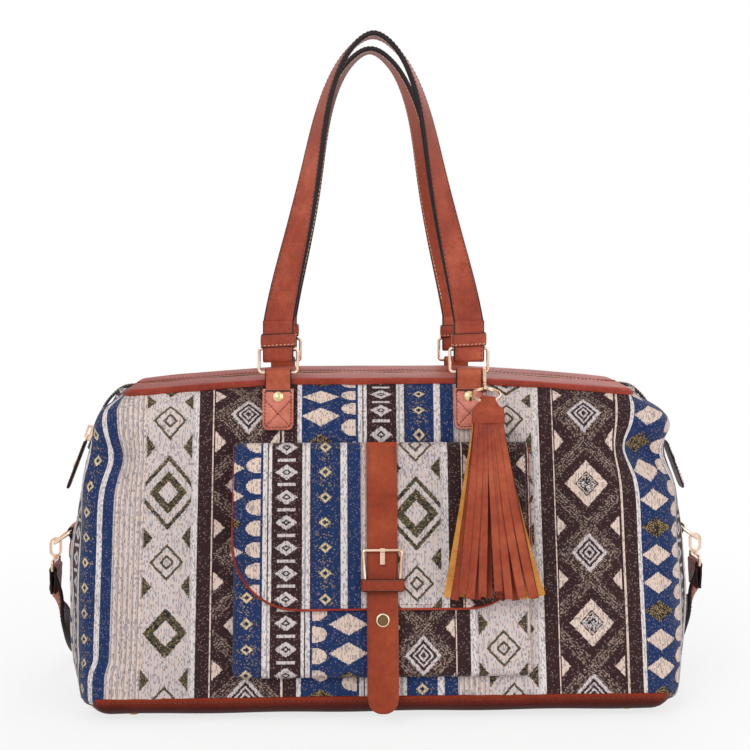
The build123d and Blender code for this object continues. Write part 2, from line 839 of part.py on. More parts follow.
# Tassel: a folded head round the split ring, and three layers of cut strands
neck_half = head_neck / 2
ring_sag = split_radius - sqrt(split_radius**2 - neck_half**2)
neck_hole = 2 * split_wire + ring_sag / 2 + soft_gap
neck_outer = neck_hole + neck_leather
pivot_reach = 2 * split_radius - ring_sag / 2
pivot = (charm_eye[0] - pivot_reach * sin(tilt), charm_eye[1] + pivot_reach * cos(tilt))
pivot_point = charm_side.from_local_coords((pivot[0], pivot[1], 0))
lean_in = radians(tassel_lean)
tassel_down = (charm_side.x_dir * -cos(lean_in) - charm_side.y_dir * sin(lean_in)).normalized()
tassel_side = Plane(origin=pivot_point, x_dir=tassel_down, z_dir=(1, 0, 0))
tassel_face = Plane(origin=pivot_point, x_dir=tassel_down, z_dir=tassel_down.cross(Vector(1, 0, 0)))
with BuildPart() as tassel_head:
    with BuildSketch(tassel_side):
        Circle(neck_outer)
        with Locations((neck_outer + head_thickness / 2, 0)):
            Circle(head_thickness / 2)
        make_hull()
        Circle(neck_hole, mode=Mode.SUBTRACT)
    extrude(amount=neck_half, both=True)
    head_top = neck_hole + leather
    with BuildSketch(tassel_face.offset(-head_thickness / 2)):
        with Locations((head_top + head_length / 2, 0)):
            RectangleRounded(head_length, head_width, head_thickness / 2)
        with Locations((head_top + head_length * 3 / 4, 0)):
            Rectangle(head_length / 2, head_width)
    extrude(amount=head_thickness)
save(tassel_head, "tassel_head")

fringe_top = head_top + head_length
with BuildPart() as tassel_fringe:
    for row in range(strand_rows):
        row_share = row - (strand_rows - 1) / 2
        row_angle = radians(row_half_angle) * row_share
        row_down = tassel_face.x_dir * cos(row_angle) + tassel_face.z_dir * sin(row_angle)
        row_start = pivot_point + tassel_face.x_dir * fringe_top
        row_start = row_start + tassel_face.z_dir * (row_share * strand_thickness * row_overlap)
        row_plane = Plane(origin=row_start, x_dir=row_down, z_dir=row_down.cross(Vector(1, 0, 0)))
        with BuildSketch(row_plane.offset(-strand_thickness / 2)):
            for strand in range(strands_across):
                share = 2 * (strand + strand_stagger * (row % 2)) / (strands_across - 1 + strand_stagger) - 1
                lead = share * (head_width - strand_width) / 2
                length = strand_length - strand_step * ((2 * strand + row) % 3)
                with Locations(Location((0, lead), fan_half_angle * share)):
                    with Locations((length / 2, 0)):
                        Rectangle(length, strand_width)
        extrude(amount=strand_thickness)
    split(bisect_by=Plane(origin=pivot_point + tassel_down * fringe_top, z_dir=tassel_down), keep=Keep.TOP)
save(tassel_fringe, "tassel_fringe")

# Side tabs, D-rings and snap hooks for the shoulder strap, on the middle of each end
side_lean = atan2(half_width(side_tab_low) - half_width(side_tab_high), side_tab_high - side_tab_low)
d_hole = d_ring_wire + running_clearance
d_loop = d_hole + leather
hook_radius = hook_opening / 2


def end_plane(side, z):
    """Plane on an end of the body, left (-1) or right (1), with y up and z outward."""
    share = (z - side_tab_low) / (side_tab_high - side_tab_low)
    x = half_width(side_tab_low) + share * (half_width(side_tab_high) - half_width(side_tab_low))
    out = Vector(side * cos(side_lean), 0, sin(side_lean))
    return Plane(origin=(side * x, 0, z), x_dir=(0, side, 0), z_dir=out)


strap_bar = {}
for side, name in ((-1, "left"), (1, "right")):
    place = end_plane(side, side_bar_height)
    side_tab = loop_tab(place, side_tab_width, side_tab_neck, side_tab_length, side_tab_stitched, d_hole)
    save(side_tab, "side_tab_" + name)

    swing = radians(d_ring_tilt)
    ring_down = place.y_dir * -cos(swing) + place.z_dir * sin(swing)
    bar_at = place.from_local_coords((0, 0, d_loop))
    d_plane = Plane(origin=bar_at, x_dir=place.x_dir, z_dir=place.x_dir.cross(ring_down))
    half = d_ring_width / 2
    with BuildPart() as d_ring:
        with BuildLine(d_plane):
            FilletPolyline(
                (-half, 0),
                (half, 0),
                (half, d_ring_straight),
                (d_ring_bow / 2, d_ring_depth),
                (-d_ring_bow / 2, d_ring_depth),
                (-half, d_ring_straight),
                radius=d_ring_corner,
                close=True,
            )
        with BuildSketch(Plane(origin=bar_at, z_dir=place.x_dir)):
            Circle(d_ring_wire)
        sweep()
    save(d_ring, "d_ring_" + name)

    bow_at = bar_at + ring_down * d_ring_depth
    hook_plane = Plane(origin=bow_at, x_dir=(0, side, 0), z_dir=(side, 0, 0))
    hook_side = side_of(hook_plane)
    hook_centre = (-(hook_radius - d_ring_wire - soft_gap), 0)
    loop_top = hook_centre[0] - hook_drop - hook_radius - hook_neck
    snap_hook = hook_solid(
        hook_side, hook_centre, hook_radius, hook_drop, hook_wall, hook_thickness, (loop_top, 0), 0.0
    )
    bar_down = loop_top - base_loop_height
    low_bar = hook_plane.from_local_coords((0, bar_down, 0))
    base_plane = Plane(origin=low_bar, x_dir=(0, side, 0), z_dir=(side, 0, 0))
    base_loop = ring_at(base_plane, base_loop_width, base_loop_height, ring_corner, d_ring_wire)
    with BuildPart() as whole_hook:
        add(snap_hook.part)
        add(base_loop.part)
    save(whole_hook, "snap_hook_" + name)
    gate = gate_solid(hook_side, hook_centre, hook_radius, hook_drop, hook_wall, hook_thickness)
    save(gate, "snap_gate_" + name)
    strap_bar[name] = low_bar

# Shoulder strap: from hook to hook, down each end and round behind the bag, standing on its edge
strap_x = strap_bar["right"].X
strap_top = strap_bar["right"].Z
strap_low = shoulder_width / 2 + strap_floor_gap
with BuildPart() as shoulder_strap:
    with BuildSketch():
        with BuildLine():
            FilletPolyline(
                (-strap_x, -shoulder_width),
                (-strap_x, shoulder_behind),
                (strap_x, shoulder_behind),
                (strap_x, -shoulder_width),
                radius=shoulder_turn,
            )
        trace(line_width=shoulder_thickness)
    extrude(amount=strap_top)
    with BuildSketch(Plane.YZ):
        with BuildLine():
            strap_drop = Line((0, strap_top - shoulder_fold + fold_end), (0, strap_top - shoulder_fold))
            strap_bend = Spline(strap_drop @ 1, (shoulder_reach, strap_low), tangents=[(0, -1), (1, 0)])
            Line(strap_bend @ 1, (shoulder_behind + shoulder_thickness, strap_low))
        trace(line_width=shoulder_width)
    extrude(amount=body_width, both=True, mode=Mode.INTERSECT)
    for bar in strap_bar.values():
        with BuildSketch(Plane(origin=bar, x_dir=(0, 0, -1), z_dir=(0, 1, 0))):
            Circle(d_loop)
            with Locations((shoulder_fold - fold_end / 2, 0)):
                Rectangle(fold_end, shoulder_thickness)
            make_hull()
            Circle(d_hole, mode=Mode.SUBTRACT)
        extrude(amount=shoulder_width / 2, both=True)
save(shoulder_strap, "shoulder_strap")
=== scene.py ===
import bmesh
import bpy
import math
import numpy as np
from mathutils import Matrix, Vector


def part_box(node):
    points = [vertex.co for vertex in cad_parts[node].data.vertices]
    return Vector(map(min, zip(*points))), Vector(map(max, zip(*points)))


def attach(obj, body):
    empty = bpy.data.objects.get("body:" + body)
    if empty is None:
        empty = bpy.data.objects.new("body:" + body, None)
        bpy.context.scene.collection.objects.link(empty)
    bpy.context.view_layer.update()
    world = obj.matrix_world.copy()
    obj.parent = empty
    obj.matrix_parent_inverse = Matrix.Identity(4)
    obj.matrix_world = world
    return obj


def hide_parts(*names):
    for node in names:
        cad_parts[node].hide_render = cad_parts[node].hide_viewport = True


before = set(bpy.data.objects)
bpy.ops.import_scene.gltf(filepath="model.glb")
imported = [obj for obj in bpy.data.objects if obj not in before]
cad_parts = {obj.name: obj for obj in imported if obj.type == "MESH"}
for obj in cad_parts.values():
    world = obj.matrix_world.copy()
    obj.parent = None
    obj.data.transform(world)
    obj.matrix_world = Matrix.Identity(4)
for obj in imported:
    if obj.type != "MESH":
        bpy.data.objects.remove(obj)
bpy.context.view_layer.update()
MM = 0.001
pi = math.pi
X, Y, Z = np.eye(3)

# ---------------------------------------------------------------- colours and node helpers


def srgb(r, g, b):
    """Linear colour from 8-bit sRGB values."""
    out = []
    for c in (r, g, b):
        c = c / 255
        out.append(c / 12.92 if c <= 0.04045 else ((c + 0.055) / 1.055) ** 2.4)
    return (*out, 1.0)


def grey(level):
    return (level, level, level, 1)


class Value:
    """Output of a node. Arithmetic on it adds math nodes, and a comparison gives 1 or 0."""

    def __init__(self, net, socket):
        self.net = net
        self.socket = socket

    def __add__(self, other):
        return self.net.math("ADD", self, other)

    def __sub__(self, other):
        return self.net.math("SUBTRACT", self, other)

    def __rsub__(self, other):
        return self.net.math("SUBTRACT", other, self)

    def __mul__(self, other):
        return self.net.math("MULTIPLY", self, other)

    def __truediv__(self, number):
        return self.net.math("MULTIPLY", self, 1 / number)

    def __lt__(self, other):
        return self.net.math("LESS_THAN", self, other)

    def __gt__(self, other):
        return self.net.math("GREATER_THAN", self, other)

    def __abs__(self):
        return self.net.math("ABSOLUTE", self)


class Nodes:
    """A node tree with short calls."""

    def __init__(self, tree):
        self.tree = tree
        tree.nodes.clear()

    def node(self, kind, **props):
        n = self.tree.nodes.new(kind)
        for k, v in props.items():
            setattr(n, k, v)
        return n

    def put(self, socket, value):
        if isinstance(value, Value):
            value = value.socket
        if isinstance(value, bpy.types.NodeSocket):
            self.tree.links.new(value, socket)
        else:
            socket.default_value = value

    def make(self, kind, inputs=(), output=0, **props):
        """Output of a new node whose inputs are set by number or name."""
        n = self.node(kind, **props)
        for key, value in dict(inputs).items():
            self.put(n.inputs[key], value)
        return Value(self, n.outputs[output])

    def math(self, op, *args):
        return self.make("ShaderNodeMath", enumerate(args), operation=op)

    def snap(self, a, step):
        return self.math("SNAP", a, step)

    def wrap(self, a, end=1.0):
        return self.math("WRAP", a, end, 0.0)

    def mix(self, fac, a, b, mode="MIX"):
        return self.make("ShaderNodeMix", {0: fac, 6: a, 7: b}, 2, data_type="RGBA", blend_type=mode)

    def stencil(self, fac, stops, kind="CONSTANT"):
        """Colour and alpha of a ramp."""
        n = self.node("ShaderNodeValToRGB")
        r = n.color_ramp
        r.interpolation = kind
        while len(r.elements) > 1:
            r.elements.remove(r.elements[-1])
        r.elements[0].position, r.elements[0].color = stops[0]
        for position, colour in stops[1:]:
            r.elements.new(position).color = colour
        self.put(n.inputs[0], fac)
        return Value(self, n.outputs[0]), Value(self, n.outputs[1])

    def ramp(self, fac, stops):
        return self.stencil(fac, stops, "LINEAR")[0]

    def xyz(self, *parts):
        return self.make("ShaderNodeCombineXYZ", enumerate(parts))

    def parts(self, vector):
        n = self.node("ShaderNodeSeparateXYZ")
        self.put(n.inputs[0], vector)
        return [Value(self, q) for q in n.outputs]

    def place(self):
        return self.make("ShaderNodeTexCoord", output="Object")

    def noise(self, vector, scale, detail=2.0, rough=0.5):
        inputs = {"Vector": vector, "Scale": scale, "Detail": detail, "Roughness": rough}
        return self.make("ShaderNodeTexNoise", inputs, "Fac")

    def speck(self, vector):
        return self.make("ShaderNodeTexWhiteNoise", {"Vector": vector}, "Value", noise_dimensions="3D")


class Net(Nodes):
    """A material: its node tree, with a surface shader in place."""

    def __init__(self, name):
        self.mat = bpy.data.materials.new(name)
        self.mat.use_nodes = True
        super().__init__(self.mat.node_tree)
        self.bsdf = self.node("ShaderNodeBsdfPrincipled")
        self.out = self.node("ShaderNodeOutputMaterial")
        self.put(self.out.inputs[0], self.bsdf.outputs[0])

    def bump(self, height, strength, distance):
        inputs = {"Height": height, "Strength": strength, "Distance": distance}
        self.put(self.bsdf.inputs["Normal"], self.make("ShaderNodeBump", inputs))

    def mottle(self, colour, fine, low=(0.84, 0.82, 0.8, 1)):
        """Fine light and dark spots over a colour."""
        spots = self.ramp(fine, [(0.35, low), (0.65, grey(1.06))])
        return self.mix(1.0, colour, spots, "MULTIPLY")

    def set(self, **values):
        names = {"colour": "Base Color", "rough": "Roughness", "metal": "Metallic",
                 "spec": "Specular IOR Level", "sheen": "Sheen Weight",
                 "sheen_rough": "Sheen Roughness"}
        for k, v in values.items():
            self.put(self.bsdf.inputs[names[k]], v)
        return self.mat


# ---------------------------------------------------------------- woven cloth

WHITE = srgb(222, 214, 212)
CREAM = srgb(204, 195, 195)
PEACH = srgb(222, 200, 186)
GREY = srgb(150, 148, 158)
NAVY = srgb(22, 48, 95)
NAVY_DARK = srgb(16, 30, 66)
BROWN = srgb(50, 26, 28)
MAROON = srgb(42, 20, 24)
OLIVE = srgb(76, 70, 50)
GOLD = srgb(140, 118, 74)
DARK = srgb(34, 26, 30)
OFF, ON = (0, 0, 0, 0), (1, 1, 1, 1)

# Width of the pattern's repeat, and where its bands start, in millimetres of cloth
PERIOD = 275.5
BANDS = [(0, BROWN), (51.1, MAROON), (51.7, PEACH), (54.7, BROWN), (65.2, WHITE), (68.8, NAVY),
         (115, WHITE), (118.2, DARK), (119.4, WHITE), (122.4, BROWN), (145.8, WHITE),
         (148.2, GREY), (149.2, WHITE), (151.8, MAROON), (153.1, NAVY), (177.2, WHITE),
         (182, NAVY), (193.6, PEACH), (218.8, CREAM), (258.8, WHITE), (263.2, BROWN),
         (273.6, PEACH)]
# Heights of the repeats up the cloth
TALL_REPEAT, LONG_REPEAT, NAVY_REPEAT, RUNG_REPEAT = 109.5, 219.0, 66.0, 19.8
# Value of a diamond's measure at its outline, below 1 so that a ramp can end there
DIAMOND = 0.8


def jacquard():
    """Woven cloth with bands of diamonds, read from the cloth map in millimetres."""
    n = Net("jacquard")
    u0, v0, _ = n.parts(n.make("ShaderNodeUVMap", uv_map="cloth"))
    u = n.snap(u0, 0.9) + 0.45
    v = n.snap(v0, 0.8) + 0.4
    cell = n.speck(n.xyz(u, v, 1.0))
    coarse = n.speck(n.xyz(n.snap(u0, 2.3), v, 4.0))
    colour, _ = n.stencil(n.wrap(u / PERIOD), [(p / PERIOD, c) for p, c in BANDS])
    gold = n.mix(cell > 0.55, DARK, GOLD)
    olive = n.mix(coarse > 0.8, n.mix(cell > 0.84, OLIVE, GOLD), DARK)
    brown_gold = n.mix(cell > 0.7, srgb(52, 34, 36), srgb(118, 98, 90))

    def across(centre):
        return n.math("PINGPONG", u - centre, PERIOD / 2)

    def along(centre, repeat):
        return n.math("PINGPONG", v - centre, repeat / 2)

    def diamond(du, dv, half_u, half_v):
        return (du / half_u + dv / half_v) * DIAMOND

    def lay(mask, paint):
        nonlocal colour
        colour = n.mix(mask, colour, paint)

    def rings(d, *stops):
        paint, mask = n.stencil(d, [(p * DIAMOND, c) for p, c in stops] + [(DIAMOND, OFF)])
        lay(mask, paint)

    def outline(d, start):
        return n.stencil(d, [(0, OFF), (start * DIAMOND, ON), (DIAMOND, OFF)])[1]

    # Brown band of crossed arms and diamonds
    du = across(25.8)
    inside = du < 25.2
    dv = along(111.3, TALL_REPEAT)
    cross = abs(dv - 21.0)
    arm = abs(du - cross)
    lay((arm < 6.0) * inside, brown_gold)
    for line in (1.6, 4.6):
        lay((abs(arm - line) < 0.55) * (inside * (cell > 0.4)), srgb(146, 126, 112))
    corner = (25.6 - du) / 7.9 + cross / 8.5
    lay((corner < 1.0) * inside, PEACH)
    rings(diamond(du, dv, 14.6, 15.6), (0, BROWN), (0.16, CREAM), (0.30, BROWN), (0.45, CREAM),
          (0.58, BROWN), (0.76, CREAM))
    plain = diamond(du, along(166.05, TALL_REPEAT), 17.5, 18.6)
    rings(plain, (0, PEACH))
    lay(plain < 0.42 * DIAMOND, n.mix(cell > 0.55, DARK, CREAM))
    rings(plain / 0.55, (0, OFF), (0.86, DARK))

    # Pale band with chevrons and olive diamonds
    du = across(237.8)
    inside = du < 19.8
    dv = along(106.4, TALL_REPEAT)
    lay((n.wrap((du + dv) / 7.0) < 0.34) * inside * (cell > 0.3), srgb(214, 192, 181))
    rings(diamond(du, dv, 13.9, 14.4), (0, OFF), (0.25, OLIVE), (0.43, OFF), (0.82, OLIVE))
    corner = (20.0 - du) / 8.4 + abs(dv - 19.0) / 9.6
    lay((corner < 1.0) * inside, olive)
    big = along(161.1, LONG_REPEAT)
    lay(outline(diamond(du, big, 27.0, 29.5), 0.84) * inside, olive)
    lay(outline(diamond(du, big, 15.5, 17.0), 0.52), olive)
    lay(outline(diamond(du, along(51.6, LONG_REPEAT), 18.0, 19.5), 0.52), olive)
    lay(outline(diamond(du, abs(v - 270.6), 27.0, 29.5), 0.84) * inside, olive)

    # Navy band with diamonds and a row of half rounds
    du = across(84.8)
    for centre, paint in ((197.0, gold), (219.0, PEACH), (241.0, PEACH)):
        lay(diamond(du, along(centre, NAVY_REPEAT), 15.4, 8.4) < DIAMOND, paint)
    rounds = 113.8
    towards = n.wrap(u - (rounds - PERIOD / 2), PERIOD) < PERIOD / 2
    ellipse = (n.math("POWER", across(rounds) / 12.0, 2.6)
               + n.math("POWER", along(193.5, NAVY_REPEAT / 4) / 6.2, 2.0))
    lay((ellipse < 1.0) * towards, PEACH)

    # Brown ladder band
    rung = along(224.4, RUNG_REPEAT)
    bar = along(234.3, RUNG_REPEAT)
    du = across(134.1)
    rings(diamond(du, rung, 8.9, 6.0), (0, CREAM), (0.2, DARK), (0.44, CREAM))
    lay((du < 7.6) * (bar < 1.15), CREAM)

    # Narrow navy band with gold specks and small diamonds
    du = across(165.1)
    lay((diamond(du, rung, 10.0, 8.0) < DIAMOND) * (cell > 0.86), GOLD)
    lay((diamond(du, bar, 9.0, 3.4) < DIAMOND) * (cell > 0.84), GOLD)
    rings(diamond(du, rung, 5.0, 4.3), (0, NAVY_DARK), (0.46, srgb(214, 192, 150)))

    # Pinstripes
    pitch = 4.1
    inside = across(206.2) < 12.4
    lay((n.wrap(u0 / pitch) < 0.42) * inside, srgb(184, 178, 184))
    lay((n.wrap((u0 + 2.6) / pitch) < 0.16) * 0.6 * inside, srgb(120, 108, 112))

    # Threads: pale cloth shows grey and peach threads, dark cloth shows light and dark specks
    rib = 2.3
    pale = n.make("ShaderNodeRGBToBW", {0: colour}) > 0.3
    dark = 1.0 - pale
    line = n.wrap(u0 / rib) < 0.26
    dots = n.speck(n.xyz(u, n.snap(v0, 1.9), 2.0))
    lay(pale * 0.6 * (dots + line * 0.25 > 0.79), srgb(108, 104, 116))
    lay(pale * 0.3 * (dots < 0.13), srgb(206, 172, 156))
    lay(dark * 0.3 * (cell > 0.9), srgb(186, 160, 156))
    lay(dark * 0.3 * (dots < 0.3), srgb(10, 14, 26))
    soft = n.ramp(n.noise(n.place(), 9.0, 3.0), [(0.3, grey(0.86)), (0.7, grey(1.05))])
    warp = abs(n.math("SINE", u0 * (pi / rib)))
    weft = abs(n.math("SINE", v0 * (pi / 0.95)))
    n.bump(warp * 0.7 + (weft * 0.3 + cell * 0.35), 0.55, 0.0006)
    return n.set(colour=n.mix(1.0, colour, soft, "MULTIPLY"), rough=0.88, spec=0.25, sheen=0.12,
                 sheen_rough=0.5)


# ---------------------------------------------------------------- other materials


def leather(name, base, dark, light, rough=0.46, grain=1.0, gloss=0.26):
    """Smooth grained leather."""
    n = Net(name)
    p = n.place()
    wide = n.noise(p, 22.0, 4.0, 0.6)
    fine = n.noise(p, 260.0, 3.0, 0.6)
    pore = n.make("ShaderNodeTexVoronoi", {"Vector": p, "Scale": 900.0}, "Distance",
                  feature="DISTANCE_TO_EDGE")
    colour = n.ramp(wide, [(0.3, srgb(*dark)), (0.5, srgb(*base)), (0.72, srgb(*light))])
    n.bump(n.math("MINIMUM", pore, 0.3) * 1.4 + fine * 0.8, 0.5 * grain, 0.0005)
    worn = n.math("MULTIPLY_ADD", fine, 0.16, rough - 0.08)
    return n.set(colour=n.mottle(colour, fine), rough=worn, spec=gloss)


def suede(name, base, dark, light):
    """Rough flesh side of the leather."""
    n = Net(name)
    p = n.place()
    nap = n.noise(p, 520.0, 4.0, 0.7)
    mixed = nap * 0.5 + n.noise(p, 40.0, 3.0) * 0.5
    colour = n.ramp(mixed, [(0.35, srgb(*dark)), (0.5, srgb(*base)), (0.66, srgb(*light))])
    n.bump(nap, 0.5, 0.0004)
    return n.set(colour=colour, rough=0.9, sheen=0.25, sheen_rough=0.4, spec=0.2)


def paint(name, base):
    """Edge paint on cut leather."""
    n = Net(name)
    base = srgb(*base)
    wide = n.noise(n.place(), 160.0, 3.0)
    light = tuple(min(1.0, c * 1.8) for c in base[:3]) + (1.0,)
    n.bump(wide, 0.25, 0.0003)
    return n.set(colour=n.ramp(wide, [(0.35, base), (0.7, light)]), rough=0.5, spec=0.25)


def shaded_base_skin():
    """Base leather: painted shade turns tan leather dark red-brown, darker still towards the
    underside.
    """
    n = Net("base_leather")
    p = n.place()
    fine = n.noise(p, 260.0, 3.0, 0.6)
    wide = n.noise(p, 22.0, 4.0, 0.6)
    # Painted shade: the ramp runs from near-black red-brown at the underside up to lighter red-brown
    # at the rim's top.
    height = n.parts(p)[2] * 50.0 + (wide - 0.5) * 0.25
    colour = n.ramp(height, [(0.3, srgb(48, 12, 8)), (0.62, srgb(78, 20, 12)),
                             (0.92, srgb(128, 44, 22))])
    n.bump(fine, 0.5, 0.0004)
    return n.set(colour=n.mottle(colour, fine), rough=0.5, spec=0.14)


def handle_lining_shaded_left():
    """Inner face of the handles: tan leather, with painted shade making it dark maroon on the left
    legs.
    """
    n = Net("handle_lining_shaded_left")
    p = n.place()
    fine = n.noise(p, 260.0, 3.0, 0.6)
    # Painted shade: the ramp across the handles darkens the tan lining to maroon towards the left.
    where = n.math("MULTIPLY_ADD", n.parts(p)[0], 10.0, 0.7) + fine * 0.1
    colour = n.ramp(where, [(0.15, srgb(66, 16, 22)), (0.45, srgb(120, 44, 34)),
                            (0.85, srgb(160, 68, 42))])
    n.bump(fine, 0.5, 0.0004)
    return n.set(colour=n.mottle(colour, fine, (0.8, 0.78, 0.76, 1)), rough=0.46, spec=0.26)


def metal(name, base, dark, rough):
    """Plated metal with fine handling marks."""
    n = Net(name)
    p = n.place()
    fine = n.noise(p, 420.0, 3.0)
    colour = n.ramp(n.noise(p, 60.0, 2.0), [(0.3, srgb(*dark)), (0.55, srgb(*base))])
    n.bump(fine, 0.06, 0.0002)
    scuffed = n.math("MULTIPLY_ADD", fine, 0.14, rough - 0.07)
    return n.set(colour=colour, metal=1.0, rough=scuffed)


def thread(name, base, dark):
    """Twisted sewing thread."""
    n = Net(name)
    fibre = n.noise(n.place(), 1400.0, 2.0)
    n.bump(fibre, 0.5, 0.0002)
    return n.set(colour=n.ramp(fibre, [(0.35, srgb(*dark)), (0.6, srgb(*base))]), rough=0.7,
                 sheen=0.2, sheen_rough=0.4)


def tape_cloth():
    """Woven zip tape."""
    n = Net("zip_tape_cloth")
    rib = abs(n.math("SINE", n.parts(n.place())[0] * 2600.0))
    n.bump(rib, 0.4, 0.0003)
    return n.set(colour=n.ramp(rib, [(0.0, srgb(16, 18, 34)), (1.0, srgb(40, 44, 70))]), rough=0.85)


def board():
    """Stiffening board under the lining."""
    n = Net("stiffener")
    fibre = n.noise(n.place(), 300.0, 4.0)
    n.bump(fibre, 0.3, 0.0003)
    return n.set(colour=n.ramp(fibre, [(0.3, srgb(90, 84, 78)), (0.7, srgb(120, 112, 104))]),
                 rough=0.9)


def snap_face():
    """Snap cap: bright rim round a darker brass centre."""
    n = Net("snap_face")
    low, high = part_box("snap_cap")
    centre = [(low[i] + high[i]) / 2 for i in range(3)]
    far = n.make("ShaderNodeVectorMath", {0: n.place(), 1: centre}, "Value", operation="DISTANCE")
    wear = n.noise(n.place(), 500.0, 3.0)
    colour = n.ramp((far + wear * 0.0004) * 100.0,
                    [(0.36, srgb(120, 96, 62)), (0.43, srgb(60, 46, 34)),
                     (0.47, srgb(226, 200, 172))])
    n.bump(wear, 0.1, 0.0003)
    return n.set(colour=colour, metal=1.0, rough=0.25)


M = {
    "cloth": jacquard(),
    "tan": leather("tan_leather", (144, 54, 22), (126, 42, 16), (164, 72, 36)),
    "base": shaded_base_skin(),
    "band": leather("band_leather", (150, 56, 40), (132, 44, 32), (172, 76, 58), 0.45, gloss=0.12),
    "neck": leather("neck_leather", (168, 80, 52), (150, 62, 38), (186, 98, 72)),
    # Tab leather: its pale pink is partly its own tone and partly painted highlight.
    "tab": leather("tab_leather_painted_highlight", (206, 122, 104), (184, 96, 76), (226, 156, 142), 0.4, 1.4),
    "handle": leather("handle_leather", (152, 62, 40), (130, 46, 28), (182, 90, 66), grain=1.3),
    "maroon": leather("inner_leather", (84, 26, 24), (60, 16, 16), (108, 38, 32), 0.4),
    "tassel": leather("tassel_leather", (150, 60, 32), (116, 38, 20), (178, 88, 56), 0.5),
    "ochre": suede("ochre_back", (206, 142, 66), (180, 112, 46), (224, 168, 96)),
    "edge": paint("edge_paint", (22, 14, 16)),
    "lining": handle_lining_shaded_left(),
    "pale": metal("pale_gold", (238, 208, 184), (214, 176, 148), 0.2),
    "brass": metal("brass", (222, 198, 146), (190, 160, 104), 0.26),
    "teeth": metal("zip_brass", (138, 104, 64), (104, 74, 44), 0.34),
    "cream_thread": thread("cream_thread", (226, 206, 180), (178, 148, 118)),
    "dark_thread": thread("dark_thread", (112, 52, 38), (66, 28, 22)),
    "tan_thread": thread("tan_thread", (208, 128, 88), (150, 76, 48)),
    "tape": tape_cloth(),
    "board": board(),
    "snap": snap_face(),
}

# ---------------------------------------------------------------- mesh helpers


def unit(v):
    v = np.asarray(v, float)
    return v / np.maximum(np.linalg.norm(v, axis=-1, keepdims=True), 1e-9)


def each(v, count):
    """The same vector, once for each station."""
    return np.repeat(np.asarray(v, float)[None], count, 0)


def step01(x, a, b):
    t = np.clip((x - a) / (b - a), 0, 1)
    return t * t * (3 - 2 * t)


def hump(x, centre, width):
    return np.exp(-((x - centre) / width) ** 2)


def ahead(line, closed=False):
    """Directions along a line."""
    if closed:
        return unit(np.roll(line, -1, 0) - np.roll(line, 1, 0))
    return unit(np.gradient(line, axis=0))


def away_from(middle, line, across, closed=False):
    """Directions square to a line and across it, pointing away from a middle point."""
    facing = unit(np.cross(across, ahead(line, closed)))
    return facing * np.sign(np.sum(facing * (line - middle), 1) + 1e-6)[:, None]


def distances(line):
    """Length run along a line at each of its points."""
    return np.concatenate([[0], np.cumsum(np.linalg.norm(np.diff(line, axis=0), axis=1))])


def sample(values, at, run):
    """Vectors read at lengths run along a line."""
    return np.stack([np.interp(at, run, values[:, i]) for i in range(3)], -1)


def smooth_line(points, count, start=None, end=None):
    """Smooth line through points, with end directions where given."""
    p = np.asarray(points, float)
    n = len(p)
    h = np.linalg.norm(np.diff(p, axis=0), axis=1)
    run = distances(p)
    a = np.zeros((n, n))
    r = np.zeros((n, p.shape[1]))
    for i in range(1, n - 1):
        a[i, i - 1], a[i, i], a[i, i + 1] = h[i], 2 * (h[i - 1] + h[i]), h[i - 1]
        r[i] = 3 * (h[i] * (p[i] - p[i - 1]) / h[i - 1] + h[i - 1] * (p[i + 1] - p[i]) / h[i])
    for i, j, way in ((0, 1, start), (-1, -2, end)):
        if way is None:
            a[i, i], a[i, j] = 2, 1
            r[i] = 3 * (p[max(i, j)] - p[min(i, j)]) / h[i]
        else:
            a[i, i] = 1
            r[i] = unit(way)
    slope = np.linalg.solve(a, r)
    at = np.linspace(0, run[-1], count)
    k = np.clip(np.searchsorted(run, at, side="right") - 1, 0, n - 2)
    t = ((at - run[k]) / h[k])[:, None]
    hk = h[k][:, None]
    return (p[k] * (2 * t**3 - 3 * t**2 + 1) + slope[k] * hk * (t**3 - 2 * t**2 + t)
            + p[k + 1] * (3 * t**2 - 2 * t**3) + slope[k + 1] * hk * (t**3 - t**2))


def circle(count, width=1.0, height=1.0):
    a = np.arange(count) * 2 * pi / count
    return np.stack([width * np.cos(a), height * np.sin(a)], 1)


def round_box(x0, x1, y0, y1, r, steps):
    """Rectangle with rounded corners."""
    points = []
    for cx, cy, start in ((x1 - r, y1 - r, 0), (x0 + r, y1 - r, 90), (x0 + r, y0 + r, 180),
                          (x1 - r, y0 + r, 270)):
        for a in np.radians(np.linspace(start, start + 90, steps)):
            points.append((cx + r * math.cos(a), cy + r * math.sin(a)))
    return np.array(points)


# What a stretch of a strap's section is: its top side, its edge or its under side
TOP_SIDE, EDGE, UNDER_SIDE = 0, 1, 2


def band_section(width, thick, crown=0.0, around=3, flat=7):
    """Strap section with rounded edges, and what each stretch of it is."""
    half, t = width / 2, thick / 2
    e = min(t, 1.4)
    xs = np.linspace(-half + e, half - e, flat)

    def turn(middle, start, stop):
        return [(middle + e * math.cos(a), t * math.sin(a) / math.sin(pi / 3))
                for a in np.radians(np.linspace(start, stop, around))]

    points = [(x, t + crown * (1 - (x / half) ** 2)) for x in xs] + turn(half - e, 60, -60)
    points += [(x, -t) for x in xs[::-1]] + turn(-half + e, 240, 120)
    edge = [EDGE] * (around + 1)
    parts = [TOP_SIDE] * (flat - 1) + edge + [UNDER_SIDE] * (flat - 1) + edge
    return np.array(points), parts


def grid_faces(rows, cols):
    i = (np.arange(rows - 1)[:, None] * cols + np.arange(cols - 1)[None]).ravel()
    return np.stack([i, i + 1, i + cols + 1, i + cols], 1)


